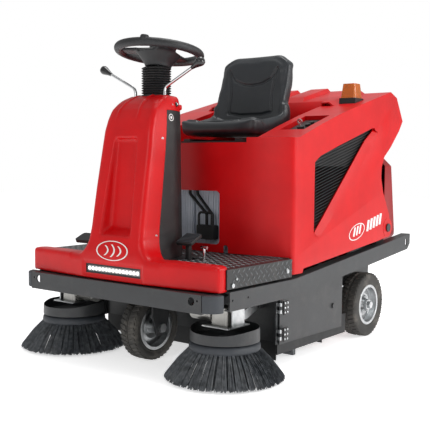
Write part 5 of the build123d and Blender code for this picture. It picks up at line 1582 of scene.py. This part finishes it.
@dataclass
class Hood:
    """Rotomoulded hood with soft edges, its slats, side prints and pivot pins, and the hopper."""

    shop: Workshop
    radius_mm: float = 9.0
    corner_mm: float = 15.0
    side: float = 490.0
    slat_tilt: float = 14.0
    slat_count: int = 48
    slat_pitch: float = 12.0
    slat_plane: float = 467.0
    pivot: tuple[float, float] = (1328.0, 486.0)
    battery_rib: float = 13.2
    sharp_deg: float = 32.0
    shortest_mm: float = 55.0
    roof: float = 858.0
    front_wall: float = 512.0

    def build(self) -> None:
        """Build hood and fittings."""
        bm = self.shop.merged("rear_hood")
        corners = [e for e in bm.edges if self._outer(e, True)]
        bmesh.ops.bevel(bm, geom=corners, offset=self.corner_mm * MM, segments=5, profile=0.5,
                        affect="EDGES",
                        material=-1, clamp_overlap=True)
        edges = [e for e in bm.edges if self._outer(e, False)]
        bmesh.ops.bevel(bm, geom=edges, offset=self.radius_mm * MM, segments=4, profile=0.5,
                        affect="EDGES",
                        material=-1, clamp_overlap=True)
        bmesh.ops.recalc_face_normals(bm, faces=bm.faces)
        hood = self.shop.piece("hood_moulding", bm, RED_SHELL, "hood", "red_shell", 46.0)
        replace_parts(hood, "rear_hood")
        self._grilles()
        # The hopper's darker red is painted shade, for a part that sits mostly in shadow.
        self.shop.refine("hopper", RED_WITH_PAINTED_SHADE, "waste_drawer", "red_shell_painted_shade", 3.0)
        self._prints()
        self._battery_ribs()
        self._pins()

    def _outer(self, edge: bmesh.types.BMEdge, corner: bool) -> bool:
        """Tell whether an edge is one of the hood's long outer corners.

        Args:
            edge: The edge.
            corner: True for the two upright front corners.

        Returns:
            True for an edge that gets rounded.
        """
        sharp = math.radians(self.sharp_deg)
        if len(edge.link_faces) != 2 or not edge.is_convex or edge.calc_face_angle(0.0) < sharp:
            return False
        a, b = ((v.co.x / MM, (v.co.y + MID) / MM, v.co.z / MM) for v in edge.verts)
        if edge.calc_length() < self.shortest_mm * MM:
            return False
        side = all(abs(abs(p[0]) - self.side) < 1.5 for p in (a, b))
        top = all(p[2] > self.roof for p in (a, b))
        front = (all(p[1] < self.front_wall and p[2] > 300 for p in (a, b))
                 and abs(a[2] - b[2]) > 40)
        return (front and side) if corner else (side and top)

    def _prints(self) -> None:
        """Lay the plain oval and stripe on both sides."""
        hood = bpy.data.objects["hood_moulding"]
        for side, sign in SIDES:
            bm = bmesh.new()
            bmesh.ops.create_circle(bm, cap_ends=False, segments=64, radius=1.0)
            out = bmesh.ops.extrude_edge_only(bm, edges=bm.edges[:])["geom"]
            bmesh.ops.scale(bm, vec=(0.92, 0.90, 1), verts=points(out))
            for vert in bm.verts:
                vert.co = at(sign * 520, 1024 + vert.co.x * 72,
                             486 + vert.co.y * 34 + vert.co.x * 14)
            bars = [(988 + i * 26, 1002 + i * 26, 466 + i * 5, 506 + i * 5) for i in range(3)]
            bars += [(1112 + i * 30, 1132 + i * 30, 482 + i * 6, 532 + i * 6) for i in range(5)]
            for d_low, d_high, z_low, z_high in bars:
                grid = bmesh.ops.create_grid(bm, x_segments=3, y_segments=6, size=1.0)["verts"]
                for vert in grid:
                    across, up = (vert.co.x + 1) / 2, (vert.co.y + 1) / 2
                    d = d_low + across * (d_high - d_low) + up * 12
                    vert.co = at(sign * 520, d, z_low + up * (z_high - z_low))
            for vert in bm.verts:
                hit, place, normal, _ = hood.ray_cast(vert.co, Vector((-sign, 0, 0)))
                if hit:
                    vert.co = place + normal * 0.0006
            bmesh.ops.recalc_face_normals(bm, faces=bm.faces)
            wrong = [f for f in bm.faces if f.normal.x * sign < 0]
            bmesh.ops.reverse_faces(bm, faces=wrong)
            self.shop.piece(f"hood_print_{side}", bm, DECAL, "hood", "grey_plastic", 60.0)

    def _grilles(self) -> None:
        """Weave the sloping slats behind both side windows, with a dark sheet of painted shade behind them.
        """
        outline = [(652, 500), (652, 800), (670, 812), (1206, 952), (1214, 940), (1120, 840),
                   (672, 492)]
        for side, sign in SIDES:
            slats = bmesh.new()
            x = sign * self.slat_plane
            turn = Matrix.Rotation(math.radians(self.slat_tilt), 4, "X")
            for i in range(self.slat_count):
                z = i * self.slat_pitch
                verts = grow_box(slats, (x - 3, 560, 380 + z), (x + 3, 1330, 382.6 + z))
                bmesh.ops.rotate(slats, cent=at(x, 900, 640), matrix=turn, verts=verts)
            low, high = sorted((sign * 461, sign * 473))
            bm = carved(slats, prism(outline, low, high), "INTERSECT")
            # painted shade: a dark sheet stands in for the shadowed inside of the hood and keeps daylight
            # from showing: all of the right window, the left one's top
            top = [(652, 770), (652, 800), (670, 812), (1206, 952), (1214, 940), (1080, 770)]
            shade = outline if sign < 0 else top
            near, far = sorted((sign * 458.5, sign * 460.5))
            stamp(bm, as_mesh(prism(shade, near, far)), [Matrix.Identity(4)])
            obj = self.shop.piece(f"window_slats_{side}", bm, BLACK_ABS, "hood", "black_plastic",
                                  40.0)
            if sign > 0:
                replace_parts(obj, "side_grilles")

    def _battery_ribs(self) -> None:
        """Add the moulded ribs on the battery's front."""
        bm = bmesh.new()
        for low_x in (-262, 7):
            for i in range(19):
                x = low_x + 8 + i * self.battery_rib
                grow_box(bm, (x, 503.4, 362), (x + 5, 506.5, 668))
        self.shop.piece("battery_ribs", bm, BATTERY, "chassis", "battery_grey", 30.0)

    def _pins(self) -> None:
        """Add the bright pivot pins of the hood."""
        bm = bmesh.new()
        for _, sign in SIDES:
            face = outer_face("rear_hood", sign)
            lathe(bm, [(0, -6), (13, -6), (13, -1.5), (11, 0), (5, 0.2), (4, -1.5), (0, -1.5)],
                  turned(face - sign * 0.6, *self.pivot, (sign, 0, 0)), 28)
        self.shop.piece("hood_pivot_pins", bm, ZINC, "hood", "zinc_steel", 40.0)


@dataclass
class Seat:
    """Pan seat in black vinyl: swollen foam and welded seams."""

    shop: Workshop
    voxel: float = 7.0
    pressure: float = 4.0
    cap: float = 7.0
    frames: int = 20
    quality: int = 4
    mass: float = 0.3

    def build(self) -> None:
        """Build the seat cover."""
        bm = self._core()
        bm = self._swell(bm)
        self._seams(bm)
        self._fit(bm)
        obj = self.shop.piece("seat_cover", bm, VINYL, "seat", "vinyl", 75.0)
        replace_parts(obj, "seat_pad")

    def _core(self) -> bmesh.types.BMesh:
        """Shape the foam before it swells.

        Returns:
            One closed, evenly meshed shape.
        """
        side = [(628, 904), (622, 930), (630, 952), (660, 960), (740, 946), (850, 940), (893, 952),
                (904, 985),
                (914, 1080), (924, 1180), (938, 1262), (956, 1276), (980, 1274), (990, 1240),
                (981, 1120),
                (970, 1000), (957, 952), (938, 914), (880, 902), (700, 902)]
        bm = prism(side, -214, 214)
        bm = fused(bm, self.voxel, 6)
        for vert in bm.verts:
            x, d, z = vert.co.x / MM, (vert.co.y + MID) / MM, vert.co.z / MM
            side = min(1.0, abs(x) / 214)
            half = (216 - 22 * ramp((z - 985) / 80) - 6 * ramp((z - 1100) / 120)
                    - 34 * ramp((z - 1242) / 28))
            narrow = 1 - 0.10 * ramp((905 - z) / 20) - 0.05 * ramp((700 - d) / 80)
            vert.co.x = math.copysign(side * half * narrow, x) * MM
            wing = 34 * side ** 3 * ramp((z - 935) / 45) * (1 - ramp((z - 975) / 215))
            wing += 8 * side ** 4 * ramp((z - 960) / 40)
            lift = (side ** 3 * (20 + 46 * ramp((d - 700) / 165)) * ramp((z - 890) / 50)
                    * (1 - ramp((z - 965) / 90)))
            drop = 150 * max(0.0, side - 0.7) ** 2 * ramp((z - 1180) / 90)
            vert.co.y -= wing * MM
            vert.co.y += 22 * MM * side ** 4 * ramp((760 - d) / 130)
            vert.co.z += (lift - drop) * MM
        bend = [v for v in bm.verts if abs(v.co.x) > 0.135 and 0.925 < v.co.z < 1.06
                and v.co.y > at(0, 700, 0).y]
        soften(bm, bend, 45)
        soften(bm, bm.verts, 8)
        return bm

    def _swell(self, bm: bmesh.types.BMesh) -> bmesh.types.BMesh:
        """Fill the cover with cloth pressure and cap how far it moves.

        Args:
            bm: The core; freed.

        Returns:
            The swollen cover.
        """
        rest = [v.co.copy() for v in bm.verts]
        mesh = as_mesh(bm)
        obj = bpy.data.objects.new("seat_work", mesh)
        scene = bpy.context.scene
        scene.collection.objects.link(obj)
        cloth = obj.modifiers.new("swell", "CLOTH")
        cloth.settings.use_pressure = True
        cloth.settings.uniform_pressure_force = self.pressure
        cloth.settings.effector_weights.gravity = 0.0
        cloth.settings.quality = self.quality
        cloth.settings.mass = self.mass
        for frame in range(1, self.frames + 1):
            scene.frame_set(frame)
        done = obj.evaluated_get(bpy.context.evaluated_depsgraph_get()).to_mesh()
        moved = [v.co.copy() for v in done.vertices]
        obj.modifiers.clear()
        scene.frame_set(1)
        out = bmesh.new()
        out.from_mesh(mesh)
        for vert, start, end in zip(out.verts, rest, moved):
            step = end - start
            if step.length > self.cap * MM:
                step *= self.cap * MM / step.length
            vert.co = start + step
        bpy.data.objects.remove(obj)
        bpy.data.meshes.remove(mesh)
        soften(out, out.verts, 2)
        bmesh.ops.subdivide_edges(out, edges=out.edges, cuts=1, use_grid_fill=True, smooth=0.0)
        LOG.info("swelled seat, %d points", len(out.verts))
        return out

    def _seams(self, bm: bmesh.types.BMesh) -> None:
        """Sink the welded seams.

        Args:
            bm: The cover.
        """
        back = [[(-118, 1010), (-112, 1080), (-118, 1134), (-131, 1205)],
                [(118, 1010), (112, 1080), (118, 1134),
                 (131, 1205)],
                 [(-131, 1205), (-100, 1160), (-50, 1140), (0, 1134), (50, 1140), (100, 1160),
                 (131, 1205)], [(-118, 1010), (-60, 1000), (60, 1000), (118, 1010)]]
        pan = [[(-112, 660), (-118, 760), (-112, 880)], [(112, 660), (118, 760), (112, 880)],
               [(-112, 664), (0, 656), (112, 664)], [(-116, 790), (0, 782), (116, 790)]]
        bm.normal_update()
        moves = []
        for vert in bm.verts:
            x, d, z = vert.co.x / MM, (vert.co.y + MID) / MM, vert.co.z / MM
            facing = -vert.normal.y
            depth = 0.0
            if z > 985 and facing > 0.35:
                for line in back:
                    depth += 7.5 * math.exp(-(near_line((x, z), line) / 6.0) ** 2)
                depth += 3.5 * math.exp(-((abs(x) - 176) / 5.0) ** 2) * ramp((1230 - z) / 20)
            elif vert.normal.z > 0.5 and z > 925:
                for line in pan:
                    depth += 6.0 * math.exp(-(near_line((x, d), line) / 6.0) ** 2)
            if depth:
                moves.append((vert, -vert.normal * min(depth, 8.0) * MM))
        for vert, move in moves:
            vert.co += move

    def _fit(self, bm: bmesh.types.BMesh) -> None:
        """Hold the cover inside the seat's envelope.

        Args:
            bm: The cover.
        """
        low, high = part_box("seat_pad")
        for vert in bm.verts:
            for i in range(3):
                vert.co[i] = min(max(vert.co[i], low[i]), high[i])


@dataclass
class Details:
    """Hinge leaves on the doors, and bright screw heads on doors and platform skirts."""

    shop: Workshop

    def build(self) -> None:
        """Build the small bright fixings."""
        bm = bmesh.new()
        head = [(0, 0), (5.2, 0), (5.2, 1.6), (4.2, 3.0), (1.8, 3.3), (1.4, 2.0), (0, 2.0)]
        for side, sign in SIDES:
            face = outer_face(f"side_door_{side}", sign)
            lathe(bm, head, turned(face - sign * 0.2, 900, 262, (sign, 0, 0)), 18)
            for d, z in ((136, 378), (458, 378)):
                lathe(bm, head, turned(sign * 493.2, d, z, (sign, 0, 0)), 18)
        self.shop.piece("bright_screws", bm, ZINC, "chassis", "zinc_steel", 35.0)
        for side, sign in SIDES:
            self._hinge_leaves(side, sign)

    def _hinge_leaves(self, side: str, sign: int) -> None:
        """Add the black hinge leaves with six screws each.

        Args:
            side: Name of the side.
            sign: Side of the machine.
        """
        face = outer_face(f"side_door_{side}", sign)
        plates, screws = bmesh.new(), bmesh.new()
        for z in (129.0, 232.0):
            near, far = sorted((face - sign * 1.0, face + sign * 3.0))
            grow_box(plates, (near, 441, z - 27), (far, 475, z + 27))
            for d in (449, 467):
                for lift in (-18, 0, 18):
                    lathe(screws, [(0, 0), (4.4, 0), (4.2, 1.6), (2.6, 2.8), (0, 3.1)],
                          turned(face + sign * 3.0, d, z + lift, (sign, 0, 0)), 14)
        rounded(plates, plates.edges[:], 0.0012, 2)
        self.shop.piece(f"hinge_leaves_{side}", plates, BLACK_STEEL, f"door_{side}", "black_steel",
                        40.0)
        self.shop.piece(f"hinge_screws_{side}", screws, ZINC, f"door_{side}", "zinc_steel", 40.0)


def main() -> None:
    """Build the whole machine and its stage in order."""
    logging.basicConfig(level=logging.INFO, format="%(name)s: %(message)s")
    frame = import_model()
    shop = Workshop()
    Studio().build()
    for group in (PlainParts, Frame, TreadPlate, Fairing, Steering, Pedals, SideBrush, Wheels,
                  Hood, Seat, Details):
        LOG.info("building %s", group.__name__)
        group(shop).build()


if __name__ == "__main__":
    main()
